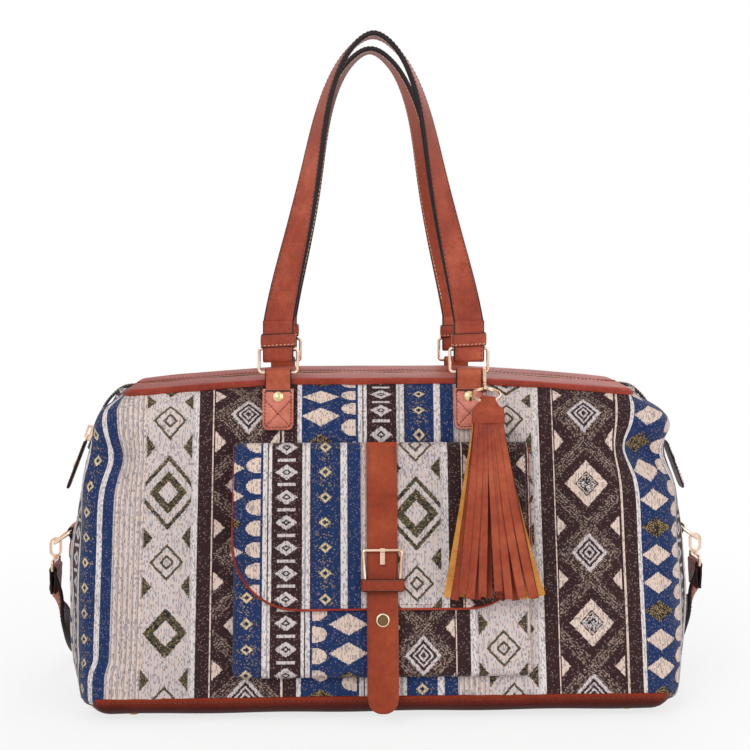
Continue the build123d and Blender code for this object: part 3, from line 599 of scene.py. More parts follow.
def tube_faces(rings, around, closed=False, order=-1):
    """Faces between rings of points, with a cap at each end unless the tube is closed."""
    i = np.arange(around)
    j = (i + 1) % around
    faces = []
    for r in range(rings if closed else rings - 1):
        a, b = r * around, (r + 1) % rings * around
        faces += np.stack([a + i, a + j, b + j, b + i], 1).tolist()
    if not closed:
        last = (rings - 1) * around
        faces += [i[::order].tolist(), (last + i)[::-order].tolist()]
    return faces


class Shape:
    """Closed shells in millimetres, joined into one piece."""

    def __init__(self):
        self.points, self.faces, self.mats, self.maps = [], [], [], []
        self.count = 0

    def shell(self, points, faces, mat=0, uv=None):
        points = np.asarray(points, float).reshape(-1, 3)
        self.faces += [[int(i) + self.count for i in f] for f in faces]
        self.mats += [mat] * len(faces) if np.isscalar(mat) else mat
        self.points.append(points)
        self.maps.append(np.zeros((len(points), 2)) if uv is None else uv.reshape(-1, 2))
        self.count += len(points)

    def slab(self, outer, inner, uv, mat=0, back=None, edge=None):
        """Closed sheet between two grids of points."""
        rows, cols = outer.shape[:2]
        n = rows * cols
        top = grid_faces(rows, cols)
        rim = np.concatenate([np.arange(cols), np.arange(1, rows) * cols + cols - 1,
                              (rows - 1) * cols + np.arange(cols - 2, -1, -1),
                              np.arange(rows - 2, 0, -1) * cols])
        after = np.roll(rim, -1)
        side = np.stack([rim, rim + n, after + n, after], 1)
        back = mat if back is None else back
        edge = mat if edge is None else edge
        self.shell(np.concatenate([outer.reshape(-1, 3), inner.reshape(-1, 3)]),
                   np.concatenate([top, top[:, ::-1] + n, side]),
                   [mat] * len(top) + [back] * len(top) + [edge] * len(side),
                   np.concatenate([uv.reshape(-1, 2)] * 2))

    def sweep(self, centre, across, facing, section, mats=0, closed=False):
        """Section (M points, or K by M, across and facing in mm) carried along a line."""
        k = len(centre)
        if section.ndim == 2:
            section = each(section, k)
        m = section.shape[1]
        points = (centre[:, None] + section[..., :1] * across[:, None]
                  + section[..., 1:] * facing[:, None])
        mats = [mats] * m if np.isscalar(mats) else mats
        mat = mats * k if closed else mats * (k - 1) + [mats[0]] * 2
        maps = np.stack([np.repeat(distances(centre), m), np.tile(np.linspace(0, 30, m), k)], 1)
        self.shell(points, tube_faces(k, m, closed), mat, maps)

    def fold(self, centre, across, middle, section, mats, closed=False):
        """Section carried along a line, with its top side away from a middle point."""
        across = each(across, len(centre))
        facing = away_from(middle, centre, across, closed)
        self.sweep(centre, across, facing, section, mats, closed)
        return facing

    def stitches(self, path, normal, mat, pitch=3.6, length=2.5, radius=0.42, lift=0.15, slant=0.0):
        """Row of separate stitches along a line on a surface."""
        if np.ndim(normal) == 1:
            normal = each(normal, len(path))
        run = distances(path)
        count = max(int(run[-1] / pitch), 1)
        at = (np.arange(count) + 0.5) * run[-1] / count
        c = sample(path, at, run)
        t = unit(sample(path, at + 0.4, run) - sample(path, at - 0.4, run))
        w = unit(sample(normal, at, run))
        t = unit(t + slant * unit(np.cross(w, t)))
        b = unit(np.cross(w, t))
        along = np.array([-0.5, -0.34, 0.0, 0.34, 0.5]) * length
        size = np.array([0.35, 0.9, 1.0, 0.9, 0.35]) * radius
        sunk = -0.25 * (2 * along / length) ** 2
        turn = circle(6)
        faces = tube_faces(len(along), len(turn))
        for i in range(count):
            middle = c[i] + w[i] * lift + along[:, None] * t[i] + sunk[:, None] * w[i]
            round_it = turn[None, :, :1] * b[i] + turn[None, :, 1:] * w[i]
            self.shell(middle[:, None] + size[:, None, None] * round_it, faces, mat)

    def done(self, name, body, materials, node):
        """Makes the piece, which rides on a body and replaces a node."""
        mesh = bpy.data.meshes.new(name)
        mesh.from_pydata((np.concatenate(self.points) * MM).tolist(), [], self.faces)
        for m in materials:
            mesh.materials.append(M[m])
        mesh.polygons.foreach_set("material_index", self.mats)
        layer = mesh.uv_layers.new(name="cloth")
        index = np.empty(len(mesh.loops), int)
        mesh.loops.foreach_get("vertex_index", index)
        layer.data.foreach_set("uv", np.concatenate(self.maps)[index].ravel())
        bm = bmesh.new()
        bm.from_mesh(mesh)
        bmesh.ops.recalc_face_normals(bm, faces=bm.faces)
        bm.to_mesh(mesh)
        bm.free()
        mesh.shade_smooth()
        mesh.set_sharp_from_angle(angle=math.radians(38))
        mesh.update()
        piece = bpy.data.objects.new(name, mesh)
        bpy.context.scene.collection.objects.link(piece)
        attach(piece, body)
        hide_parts(node)


# ---------------------------------------------------------------- body of the bag

# Half the width and the depth, the corner's radius, the seam's and the widest height
HALF_WIDTH, HALF_DEPTH, CORNER, SEAM, WIDEST, HEIGHT = 260, 108, 34, 18, 60, 266
FRONT, BACK = -1, 1
# Dents and swellings of the cloth: depth, place and width along it, height and spread up it
SOFT = {
    FRONT: [(-9.5, -222, 20, 205, 24), (-14.5, 228, 22, 204, 20), (3.5, -236, 16, 238, 20),
            (4.0, 240, 18, 240, 18), (3.0, -228, 22, 160, 26), (3.5, 232, 22, 160, 28),
            (-2.6, -226, 24, 46, 8), (1.6, 228, 24, 62, 14)],
    BACK: [(1.2, 0, 60, 120, 70), (-8.0, -218, 22, 208, 24), (-9.0, 222, 22, 200, 24)],
}
# Sideways pull of the cloth at its creased top corners, in the same way
DRAWN = {
    FRONT: [(-11.5, 224, 26, 214, 20), (5.5, -224, 24, 206, 18)],
    BACK: [(6.0, -222, 26, 212, 22), (-7.0, 224, 24, 205, 20)],
}


def places(table, s, z):
    """Sum of a table of soft places."""
    return sum(depth * hump(s, at, width) * hump(z, height, spread)
               for depth, at, width, height, spread in table)


def edge_turn(z):
    """How far the body turns in below the seam."""
    f = np.clip((SEAM - z) / 13, 0, 1)
    return 10 * (1 - np.sqrt(1 - f * f))


def half_width(z):
    z = np.asarray(z, float)
    high = HALF_WIDTH - 40 * np.clip((z - WIDEST) / (HEIGHT - WIDEST), 0, None) ** 3
    low = HALF_WIDTH - 5 * np.clip((WIDEST - z) / 55, 0, None) ** 2 - edge_turn(z)
    return np.where(z >= WIDEST, high, low)


def plan(z):
    """Half width, half depth and corner radius at a height."""
    half_depth = HALF_DEPTH - 0.21371 * np.clip(np.asarray(z, float) - SEAM, 0, None) - edge_turn(z)
    return half_width(z), half_depth, CORNER * half_depth / HALF_DEPTH


def round_length(z):
    """Distance round the body, from the middle of the face to the middle of the end."""
    a, b, c = plan(z)
    return (a - c) + c * pi / 2 + (b - c)


def body_at(s, z, off, side):
    """Point of the body, and the way out of it, at a distance round from the middle of the face."""
    a, b, c = plan(z)
    q = np.abs(s)
    flat = a - c
    turn = np.clip((q - flat) / c, 0, pi / 2)
    tail = np.clip(q - flat - c * pi / 2, 0, None)
    sign = np.where(s < 0, -1.0, 1.0)
    x = (np.minimum(q, flat) + c * np.sin(turn)) * sign
    y = -(b - c) - c * np.cos(turn) + tail
    nx, ny = np.sin(turn) * sign, -np.cos(turn)
    p = np.stack([x + off * nx, y + off * ny, z + 0 * x], -1)
    n = np.stack([nx, ny, 0 * nx], -1)
    flip = [1, 1, 1] if side == FRONT else [-1, -1, 1]
    return p * flip, n * flip


def end_pull(s, z):
    """0 on the face, rising to 1 round the corner."""
    a, _, c = plan(z)
    return step01(np.abs(s), a - c - 22, a - c + c * pi / 2)


def tuck(s, z):
    """How far the ends draw in: round at the corners, and low down."""
    z = np.asarray(z, float)
    beyond = np.clip((round_length(z) - np.abs(s)) / 75, 0, 1)
    low = np.clip((78 - z) / 60, 0, 1.1)
    return 5.0 * low**2 + 12.0 * beyond**2 * (1 - step01(z, 150, 215))


def droop(x):
    """How far the top falls towards its ends."""
    return 11.0 * np.clip((np.abs(x) - 70) / 150, 0, 1.1) ** 1.3


def sag(p):
    """Lowers the upper body towards its ends."""
    p = np.array(p)
    p[..., 2] -= droop(p[..., 0]) * step01(p[..., 2], 150, 262)
    return p


def swell(s, z, side):
    """Soft fullness, dents and wrinkles of the cloth."""
    q = np.abs(s)
    to_seam = round_length(z) - q
    mid = np.sin(pi * np.clip((z - 16) / 248, 0, 1)) ** 0.7
    clear = 1 - hump(to_seam, 0, 15)
    shoulder = np.where((s > 0) == (side == FRONT), 6.0, 1.0) * hump(z, 238, 15)
    d = 3.6 * hump(q, 178, 34) * mid + places(SOFT[side], s, z)
    d = d - 9.0 * hump(to_seam, 36, 24) * hump(z, 184, 34) * clear
    d = d + end_pull(s, z) * clear * (shoulder - 12.0 * step01(z, 249, 262.8))
    d = d - 1.4 * hump(to_seam, 0, 1.8)
    # Folds near the ends, puckers at both seams and a slow unevenness
    d = d + np.sin(s / 9.0 + 0.9 * np.sin(z / 31.0) + 0.02 * z) * step01(q, 185, 235) * mid
    d = d + 0.7 * np.sin(z / 13.0 + s / 37.0) * step01(q, 200, 240)
    d = d + 0.55 * np.sin(s / 2.9 + 0.6 * np.sin(s / 11)) * np.exp(-(260 - z) / 10.0) * (z < 262)
    d = d + 0.35 * np.sin(s / 3.7) * np.exp(-np.abs(z - 20) / 6.0)
    return d + 0.45 * np.sin(s / 23 + z / 41) * np.sin(z / 29 - s / 53)


def drawn(s, z, side):
    """Sideways pull of the cloth."""
    low = 4.5 * (step01(z, 36, 50) - 1) * hump(s, -230, 24) if side == FRONT else 0
    return places(DRAWN[side], s, z) + low


def cloth_map(s, z):
    """Place in the woven pattern, which runs on over the rounded top."""
    v = 1.0226 * (z - SEAM)
    rise = 18 * (np.clip(v - 222, 0, None) / 30) ** 1.5 - 2.5 * step01(v, 195, 215)
    return np.stack([s + 133.8, v + rise], -1)


def body_cloth(name, side, node):
    top = 262.8
    flange = np.array([2.0, 5.0, 9.0, 14.0, 19.0, 24.0])
    rows = np.concatenate([[15.5, 17.0], np.linspace(18.5, 261.5, 86), [262.4], np.full(6, top)])
    z = np.repeat(rows[:, None], 253, 1)
    s = np.linspace(-1, 1, 253)[None] * round_length(z)
    d = swell(s, z, side)
    d[:2] = -0.8
    d[-6:] -= flange[:, None]
    p, n = body_at(s + drawn(s, z, side), z, 0, side)
    d = (d - tuck(s, z) * np.abs(n[..., 0]))[..., None]
    p[..., 2] -= 5.0 * end_pull(s, z) * (1 - step01(z, 20, 60))
    outer = p + n * d
    inner = p + n * (d - 2.4)
    inner[-6:] = outer[-6:] - [0, 0, 2.0]
    outer = sag(outer)
    maps = cloth_map(s, outer[..., 2])
    if side == FRONT:
        past = np.where(s < 0, np.abs(s) - 214, s - 209)
        maps[..., 0] += 3.0 * hump(s, -143, 12) + np.sign(s) * 0.3 * np.clip(past, 0, 60)
    maps[-6:, :, 1] += flange[:, None]
    shape = Shape()
    shape.slab(outer, sag(inner), maps)
    shape.done(name, "bag", ["cloth"], node)


body_cloth("front_cloth", FRONT, "front_panel")
body_cloth("back_cloth", BACK, "back_panel")


def base_leather():
    """Base panel: turned-up rim with a stitched edge, and the flat underside."""
    # Height and distance out of the body, from inside the rim to the underside
    profile = [(7.5, -3.2), (19.2, -3.2), (20.0, -0.6), (19.6, 0.9), (18.0, 1.2), (14.0, 0.9),
               (10.5, 0.5), (7.5, 0.2), (5.8, -0.2), (5.05, -1.4), (5.0, -6.0)]

    def along(s, z, off, side):
        p, n = body_at(s, np.full(len(s), z), off, side)
        return p - n * ((tuck(s, z) + 9.0)[:, None] * np.abs(n[:, :1])), n

    shape = Shape()
    t = np.linspace(-1, 1, 161)[:-1]
    rings = []
    for z, off in profile:
        s = t * float(round_length(z))
        ring = np.concatenate([along(s, z, off, side)[0] for side in (FRONT, BACK)])
        ring[:, 2] = z + 0.35 * np.sin(ring[:, 0] / 17.0) * (5.5 < z < 19)
        rings.append(ring)
    shape.shell(np.concatenate(rings), tube_faces(len(rings), len(rings[0]), order=1))
    length = float(round_length(16.5))
    for side in (FRONT, BACK):
        p, n = along(np.linspace(-length, length, 300), 16.6, 1.15, side)
        shape.stitches(p, n, 1, pitch=4.0, length=2.8, radius=0.35, lift=0.1)
    shape.done("base_leather", "bag", ["base", "dark_thread"], "base_panel")


base_leather()

# ---------------------------------------------------------------- top strips and zip

TOP = 265.2
STRIP_THICK = 2.2


def top_strip(name, side, node):
    shape = Shape()
    count = 181
    short = 5.4
    t = np.linspace(-1, 1, count)
    length = float(round_length(263.0)) - short
    s = t * length
    rows, outs = [], []
    # Height and distance out of the body of the turned-down face
    for z, off in [(259.9, 0.2), (260.3, 1.6), (261.3, 2.3), (262.6, 2.3), (263.8, 1.7),
                   (264.7, 0.6), (TOP, -0.9)]:
        level = np.full(count, z)
        at = s * float(round_length(z) - short) / length
        p, n = body_at(at, level, off, side)
        p = p - n * (11.5 * end_pull(at, level))[:, None]
        if z < 262:
            p[:, 2] += 0.25 * np.sin(s / 19.0) + 0.15 * np.sin(s / 7.0 + 1)
        rows.append(p)
        outs.append(unit(n + Z * (0.15 if z < 262 else 1.2)))
    edge = rows[-1]
    reach = half_width(263.0) - 14.0
    zip_side = np.stack([-side * t * reach, np.full(count, side * 5.3), np.full(count, TOP)], 1)
    for r in (0.06, 0.15, 0.27, 0.4, 0.53, 0.66, 0.78, 0.88, 0.95, 1.0):
        p = edge * (1 - r) + zip_side * r
        p[:, 2] = TOP + 0.9 * math.sin(pi * min(1.0, r * 1.05)) + 0.25 * np.sin(s / 13.0 + 4 * r)
        if r == 1.0:
            p[:, 2] -= 0.9
        rows.append(p)
        outs.append(each(Z, count))
    outer = sag(np.stack(rows))
    normal = np.stack(outs)
    inner = outer - normal * STRIP_THICK
    inner[-1] = outer[-1] + [0, side * 0.4, -STRIP_THICK]
    maps = np.stack(np.meshgrid(s, np.arange(len(rows)) * 4.0), -1)
    shape.slab(outer, inner, maps, edge=2)
    for row, near, far in ((3, outer[2] * 0.3, outer[3] * 0.7),
                           (-3, outer[-3] * 0.7, outer[-2] * 0.3)):
        shape.stitches((near + far)[3:-3], normal[row][3:-3], 1, pitch=3.4, radius=0.38, lift=0.12)
    shape.done(name, "bag", ["band", "dark_thread", "edge"], node)


top_strip("top_strip_front", FRONT, "top_band_front")
top_strip("top_strip_back", BACK, "top_band_back")


def zip_line(lift, count):
    """The zip's line: up the left end, over the top, down the right end."""
    low, high = float(half_width(200.0)), float(half_width(250.0))
    points = [(-(low + (high - low) * (z - 200) / 50 + lift), z) for z in (200.0, 212.0, 224.0, 236.0)]
    points += [(-226.2 - lift * 0.8, 245.5 + lift * 0.6), (-217.5 - lift * 0.4, 251.6 + lift)]
    points += [(x, 262.6 - float(droop(x)) + lift) for x in np.linspace(-204, 0, 12)]
    points += [(-x, z) for x, z in points[-2::-1]]
    line = smooth_line(points, count)
    return np.stack([line[:, 0], 0 * line[:, 0], line[:, 1]], 1)


def zip_pieces():
    inside = 100 * Z
    tape = Shape()
    tape.fold(zip_line(0.7, 400), Y, inside, band_section(9.0, 1.2)[0], 0)
    tape.done("zip_band", "bag", ["tape"], "zip_tape")

    teeth = Shape()
    line = zip_line(2.0, 900)
    way = ahead(line)
    facing = away_from(inside, line, each(Y, len(line)))
    run = distances(line)
    pitch, half = 2.7, 0.62
    box = np.array([(-1, -1), (1, -1), (1, 1), (-1, 1)], float)
    faces = tube_faces(4, 4)
    for row, phase in ((-1, 0.0), (1, 0.5)):
        for k in range(int(run[-1] / pitch) - 1):
            at = (k + 0.5 + phase) * pitch
            c, d, f = (sample(q, at, run) for q in (line, way, facing))
            corners = box[:, :1] * unit(d) + box[:, 1:] * unit(f)
            rings = [c + row * reach * Y + half * scale * corners
                     for reach, scale in ((-0.35, 0.55), (0.15, 1.0), (1.5, 1.0), (2.3, 0.6))]
            teeth.shell(np.concatenate(rings), faces)
    teeth.done("zip_rows", "bag", ["teeth"], "zip_teeth")


zip_pieces()

# ---------------------------------------------------------------- front pocket, flap and strap

# Where the leaning front face starts, the way up it and the way out of it
FACE = np.array([0, -108.0, 18.0])
FACE_UP = np.array([0, 0.209, 0.978])
FACE_OUT = np.array([0, -0.978, 0.209])
POCKET_HALF = 118.5
FLAP_LOW, FLAP_CORNER = 69.1, 52.0


def on_plane(origin, x_dir, up, out, x, v, off):
    """Points given across, up and out from a plane."""
    x, v, off = np.broadcast_arrays(*(np.asarray(q, float) for q in (x, v, off)))
    return origin + x[..., None] * x_dir + v[..., None] * up + off[..., None] * out


def on_face(x, v, off):
    return on_plane(FACE, X, FACE_UP, FACE_OUT, x, v, off)


def round_drop(dist, radius):
    """Fall of a rounded edge at a distance in from it."""
    t = np.clip(1 - dist / radius, 0, 1)
    return radius * (1 - np.sqrt(np.clip(1 - t * t, 0, 1)))


def bottom_edge(x, half, low, corner):
    """Lower edge of a shape with rounded lower corners."""
    over = np.clip(np.abs(x) - (half - corner), 0, corner)
    return low + corner - np.sqrt(np.clip(corner**2 - over**2, 0, None))


def edge_distance(x, v, half, low, corner):
    """Distance in from the sides and the rounded lower edge."""
    qx = np.abs(x) - (half - corner)
    qv = (low + corner) - v
    out = np.hypot(np.clip(qx, 0, None), np.clip(qv, 0, None))
    return corner - out - np.minimum(np.maximum(qx, qv), 0)


def flat_shape(t, r, half, low, corner, high):
    """Grid of a shape with rounded lower corners, and its distance in from the edge."""
    x, r = np.meshgrid(t * half, r)
    v = bottom_edge(x, half, low, corner) * (1 - r) + high * r
    return x, v, edge_distance(x, v, half, low, corner)


def round_tag(t, r, half, low, corner, high, high_corner):
    """The same with both ends rounded."""
    x, r = np.meshgrid(t * half, r)
    top = bottom_edge(x, half, -high, high_corner)
    v = bottom_edge(x, half, low, corner) * (1 - r) - top * r
    return x, v, np.minimum(edge_distance(x, v, half, low, corner),
                            edge_distance(x, -v, half, -high, high_corner))


def spread(count, power=1.0):
    """Numbers from -1 to 1, closer at the ends for a power below 1."""
    t = np.linspace(0, 1, count) * 2 - 1
    return np.sign(t) * np.abs(t) ** power


def pocket_cloth():
    fine = [0, 0.006, 0.014, 0.024]
    t = np.concatenate([fine, np.linspace(0.036, 0.964, 90), [0.976, 0.986, 0.994, 1]])
    r = np.concatenate([[0, 0.008, 0.018, 0.03], np.linspace(0.045, 1, 66)])
    x, v, d = flat_shape(t * 2 - 1, r, POCKET_HALF, 16.0, 6.0, 196.4)
    out = 9.0 - np.minimum(round_drop(d, 5.5) * 1.5, 8.6) - 0.9 * hump(d, 4.6, 1.6)
    out = out + 0.5 * np.sin(x / 21.0 + v / 33.0) * step01(d, 4, 20) * (v < 66)
    shape = Shape()
    shape.slab(on_face(x, v, out), on_face(x, v, np.maximum(out - 2.4, 0.1)),
               np.stack([57.8 - x, 144 - v], -1))
    shape.done("pocket_cloth", "bag", ["cloth"], "pocket_body")


def flap_cloth():
    r = np.concatenate([np.linspace(0, 0.93, 62), np.linspace(0.94, 1, 10)])
    x, v, d = flat_shape(spread(110), r, POCKET_HALF, FLAP_LOW, FLAP_CORNER, 199.6)
    top = np.clip((v - 191.2) / 8.6, 0, 1)
    wave = 0.45 * np.sin(x / 17.0 - v / 23.0) + 0.3 * np.sin(v / 12.0 + x / 40.0)
    out = 11.7 * np.sqrt(np.clip(1 - top**2, 0, 1)) + 0.25 - 0.35 * round_drop(d, 2.4)
    out = out + step01(np.abs(x), 14, 24) * wave * step01(d, 3, 14) - 0.5 * hump(v, 188.5, 1.3)
    shape = Shape()
    shape.slab(on_face(x, v, out), on_face(x, v, np.maximum(out - 2.3, 0.1)),
               np.stack([x + 210.4, v + 128], -1), edge=1)
    shape.done("flap_cloth", "bag", ["cloth", "maroon"], "pocket_flap")


def flap_line(grow, off, count=260):
    """Line round the flap's sides and lower edge, across and up the face, then on it."""
    half, low, corner = POCKET_HALF + grow, FLAP_LOW - grow, FLAP_CORNER + grow
    points = [(-half, 196.0), (-half, 160.0)]
    points += [(-half + corner - corner * math.cos(a), low + corner - corner * math.sin(a))
               for a in np.linspace(0, pi / 2, 14)]
    points += [(-40.0, low), (0.0, low)]
    points += [(-x, v) for x, v in points[-2::-1]]
    line = smooth_line(points, count)
    return line, on_face(line[:, 0], line[:, 1], off)


def flap_edging():
    line, centre = flap_line(0.8, 10.9)
    facing = each(FACE_OUT, len(line))
    thin = 1 - 0.6 * step01(line[:, 1], 112, 140)
    shape = Shape()
    shape.sweep(centre, unit(np.cross(facing, ahead(centre))), facing,
                circle(10, 0.95, 1.1)[None] * thin[:, None, None])
    shape.stitches(flap_line(-2.6, 12.05, 400)[1], FACE_OUT, 1, pitch=3.8, length=2.4, radius=0.3,
                   lift=0.0)
    shape.done("flap_edging", "bag", ["band", "dark_thread"], "flap_piping")


def flap_belt():
    """Strap over the flap: round tip, black painted edges, stitched along both edges."""
    r = np.concatenate([np.linspace(0, 0.06, 12), np.linspace(0.075, 1, 90)])
    x, v, d = flat_shape(spread(17, 0.85), r, 12.3, -10.3, 11.4, 199.2)
    base = 14.55 - 2.6 * np.clip((v - 193.5) / 6.6, 0, 1) ** 2
    out = base + 0.8 * step01(v, 155.6, 157.4) - 0.55 * round_drop(d, 1.8) + 0.18 * hump(d, 2.0, 1.2)
    out = out + 0.35 * np.sin(v / 19.0) * (v > 150) + 0.25 * np.sin(v / 8.0) * (v < 66) * (v > 10)
    shape = Shape()
    shape.slab(on_face(x, v, out), on_face(x, v, base - 2.3 - 0.3 * (v < 60)),
               np.stack([x, v], -1), edge=2, back=3)
    row = {"pitch": 3.3, "radius": 0.33, "lift": 0.08}
    v = np.linspace(3.0, 196.0, 200)
    for side in (-1, 1):
        for part in (v[v < 90], v[(v > 118) & (v < 154)], v[v > 160]):
            at = on_face(side * 10.4, part, 14.55 + 0.8 * (part > 157))
            shape.stitches(at, FACE_OUT, 1, length=2.4, **row)
    a = np.linspace(0, pi, 40)
    shape.stitches(on_face(10.0 * np.cos(a), 2.0 - 10.2 * np.sin(a), 14.5), FACE_OUT, 1, length=2.2,
                   **row)
    shape.stitches(on_face(np.linspace(-9.5, 9.5, 20), 158.6, 15.35), FACE_OUT, 1, pitch=3.1,
                   length=2.3, radius=0.33)
    shape.done("flap_belt", "bag", ["tan", "dark_thread", "edge", "maroon"],
               "flap_strap")


def belt_keeper():
    """Leather loop round the strap's tip, as wide as the solid one."""
    low, high = (np.array(q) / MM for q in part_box("strap_keeper"))
    half = (high[0] - low[0]) / 2 - 0.7
    v = float(np.dot([0, *(low + high)[1:] / 2] - FACE, FACE_UP))
    front = max(float(np.dot([0, low[1], z] - FACE, FACE_OUT)) for z in (low[2], high[2]))
    deep, top = 11.9, front - 0.9
    box = round_box(-half, half, deep, top, 1.6, 6)
    section, parts = band_section(9.6, 1.3, 0.35, flat=5)
    shape = Shape()
    shape.fold(on_face(box[:, 0], v, box[:, 1]), FACE_UP, on_face(0.0, v, (top + deep) / 2), section,
               [2 if q == EDGE else 0 for q in parts], closed=True)
    for dv in (-3.1, 3.1):
        row = on_face(np.linspace(-half + 2, half - 2, 20), v + dv, top + 0.72)
        shape.stitches(row, FACE_OUT, 1, pitch=3.0, length=2.2, radius=0.3)
    shape.done("belt_keeper", "bag", ["tan", "dark_thread", "edge"], "strap_keeper")


pocket_cloth()
flap_cloth()
flap_edging()
flap_belt()
belt_keeper()

# ---------------------------------------------------------------- folded tabs


def fold_tab(name, node, frame_at, width, neck, length, stitched, hole, cross):
    """Leather folded over a ring's bar and stitched down, with a raised, stitched plate."""
    def at(x, v, off):
        return on_plane(*frame_at, x, v, off)

    _, x_dir, _, out = frame_at
    shape = Shape()
    mid, bar = hole + 1.0, hole + 2.0
    fold = [(-stitched - 3, 3.1), (-stitched, 3.1), (-stitched * 0.62, 3.7),
            (-stitched * 0.3, bar + mid * 0.86)]
    fold += [(mid * math.sin(a), bar + mid * math.cos(a)) for a in np.linspace(0.1, pi - 0.1, 9)]
    fold += [(-stitched * 0.3, 1.05), (-stitched * 0.7, 1.0), (-stitched - 3, 1.0)]
    line = smooth_line(fold, 46)
    shape.fold(at(0.0, line[:, 0], line[:, 1]), x_dir, at(0.0, -1.0, bar),
               *band_section(neck, 1.9, 0.15))

    half, high = width / 2, -stitched + 0.6
    x, v, d = flat_shape(spread(33, 0.9), np.linspace(0, 1, 40), half, -length, 5.0, high)
    d = np.minimum(d, high - v)
    lift = 4.1 + 1.1 * step01(d, 2.2, 5.5) - 0.5 * round_drop(d, 1.4) - 0.35 * hump(d, 2.0, 0.7)
    if cross:
        reach_x, reach_v = half - 2.6, (length - stitched) / 2 - 6.0
        middle = -length + 2.6 + reach_v
        slope = reach_v / reach_x
        near = np.abs(v - middle) < reach_v
        for sign in (-1, 1):
            off = np.abs((v - middle) - sign * slope * x) / math.hypot(1, slope)
            lift = lift - 0.95 * hump(off, 0, 0.9) * near
        rivet = np.hypot(x, v + 20.0)
        lift = lift - np.clip(lift - 4.05, 0, None) * (1 - step01(rivet, 4.4, 7.5))
    shape.slab(at(x, v, lift), at(x, v, 0.05), np.stack([x, v], -1), mat=3, edge=1, back=2)

    row = {"radius": 0.36, "lift": 0.05, "pitch": 2.7, "length": 2.0}
    rim = [(-half + 2.0, -stitched - 1.4), (-half + 2.0, -length + 6.5)]
    rim += [(-half + 2.0 + 4.0 * (1 - math.cos(a)), -length + 6.0 - 4.0 * math.sin(a))
            for a in np.linspace(0.1, pi / 2, 6)]
    rim += [(0, -length + 2.0)]
    rim += [(-a, b) for a, b in rim[-2::-1]]
    line = smooth_line(rim, 120)
    shape.stitches(at(line[:, 0], line[:, 1], 4.25), out, 4, **row)
    shape.stitches(at(np.linspace(-half + 2.4, half - 2.4, 12), -stitched - 1.3, 4.3), out, 4, **row)
    if cross:
        x = np.linspace(-reach_x, reach_x, 24)
        for sign in (-1, 1):
            shape.stitches(at(x, middle + sign * slope * x, 4.55), out, 4, pitch=2.5, length=1.8,
                           radius=0.34, lift=0.05)
    shape.done(name, "bag", ["neck", "edge", "maroon", "tab", "dark_thread"], node)


HANDLE_X = {"left": -84.0, "right": 73.0}
# Distance up the face of the bar of the handles' rings
UP_BAR = 1.0226 * (270 - SEAM) - 3.36 * 0.2137
FLIPS = {"front": np.array([1.0, 1, 1]), "back": np.array([1.0, -1, 1])}
for face, flip in FLIPS.items():
    for place, x in HANDLE_X.items():
        tab_frame = ((FACE + FACE_UP * UP_BAR) * flip + [x, 0, 0], X, FACE_UP * flip, FACE_OUT * flip)
        fold_tab("tab_" + face + "_" + place, "handle_tab_" + face + "_" + place, tab_frame,
                 25.4, 21.6, 47.0, 14.0, 1.36, True)

# The side tabs lie on the ends, between heights of 105 and 150 mm, with their bars at 131 mm
wide, narrow = float(half_width(105.0)), float(half_width(150.0))
lean = math.atan2(wide - narrow, 45.0)
tab_x, tab_z = wide + (131.0 - 105.0) / 45.0 * (narrow - wide), 131.0
for place, sign in (("left", -1), ("right", 1)):
    tab_frame = tuple(np.array(q, float) for q in (
        (sign * tab_x, 0, tab_z), (0, sign, 0), (-sign * math.sin(lean), 0, math.cos(lean)),
        (sign * math.cos(lean), 0, math.sin(lean))))
    fold_tab("side_fold_" + place, "side_tab_" + place, tab_frame, 25.0, 22.0, 24.0, 9.0, 1.46, False)

# ---------------------------------------------------------------- handles and keepers

STRAP = 25.0
LEG_Y = 57.58


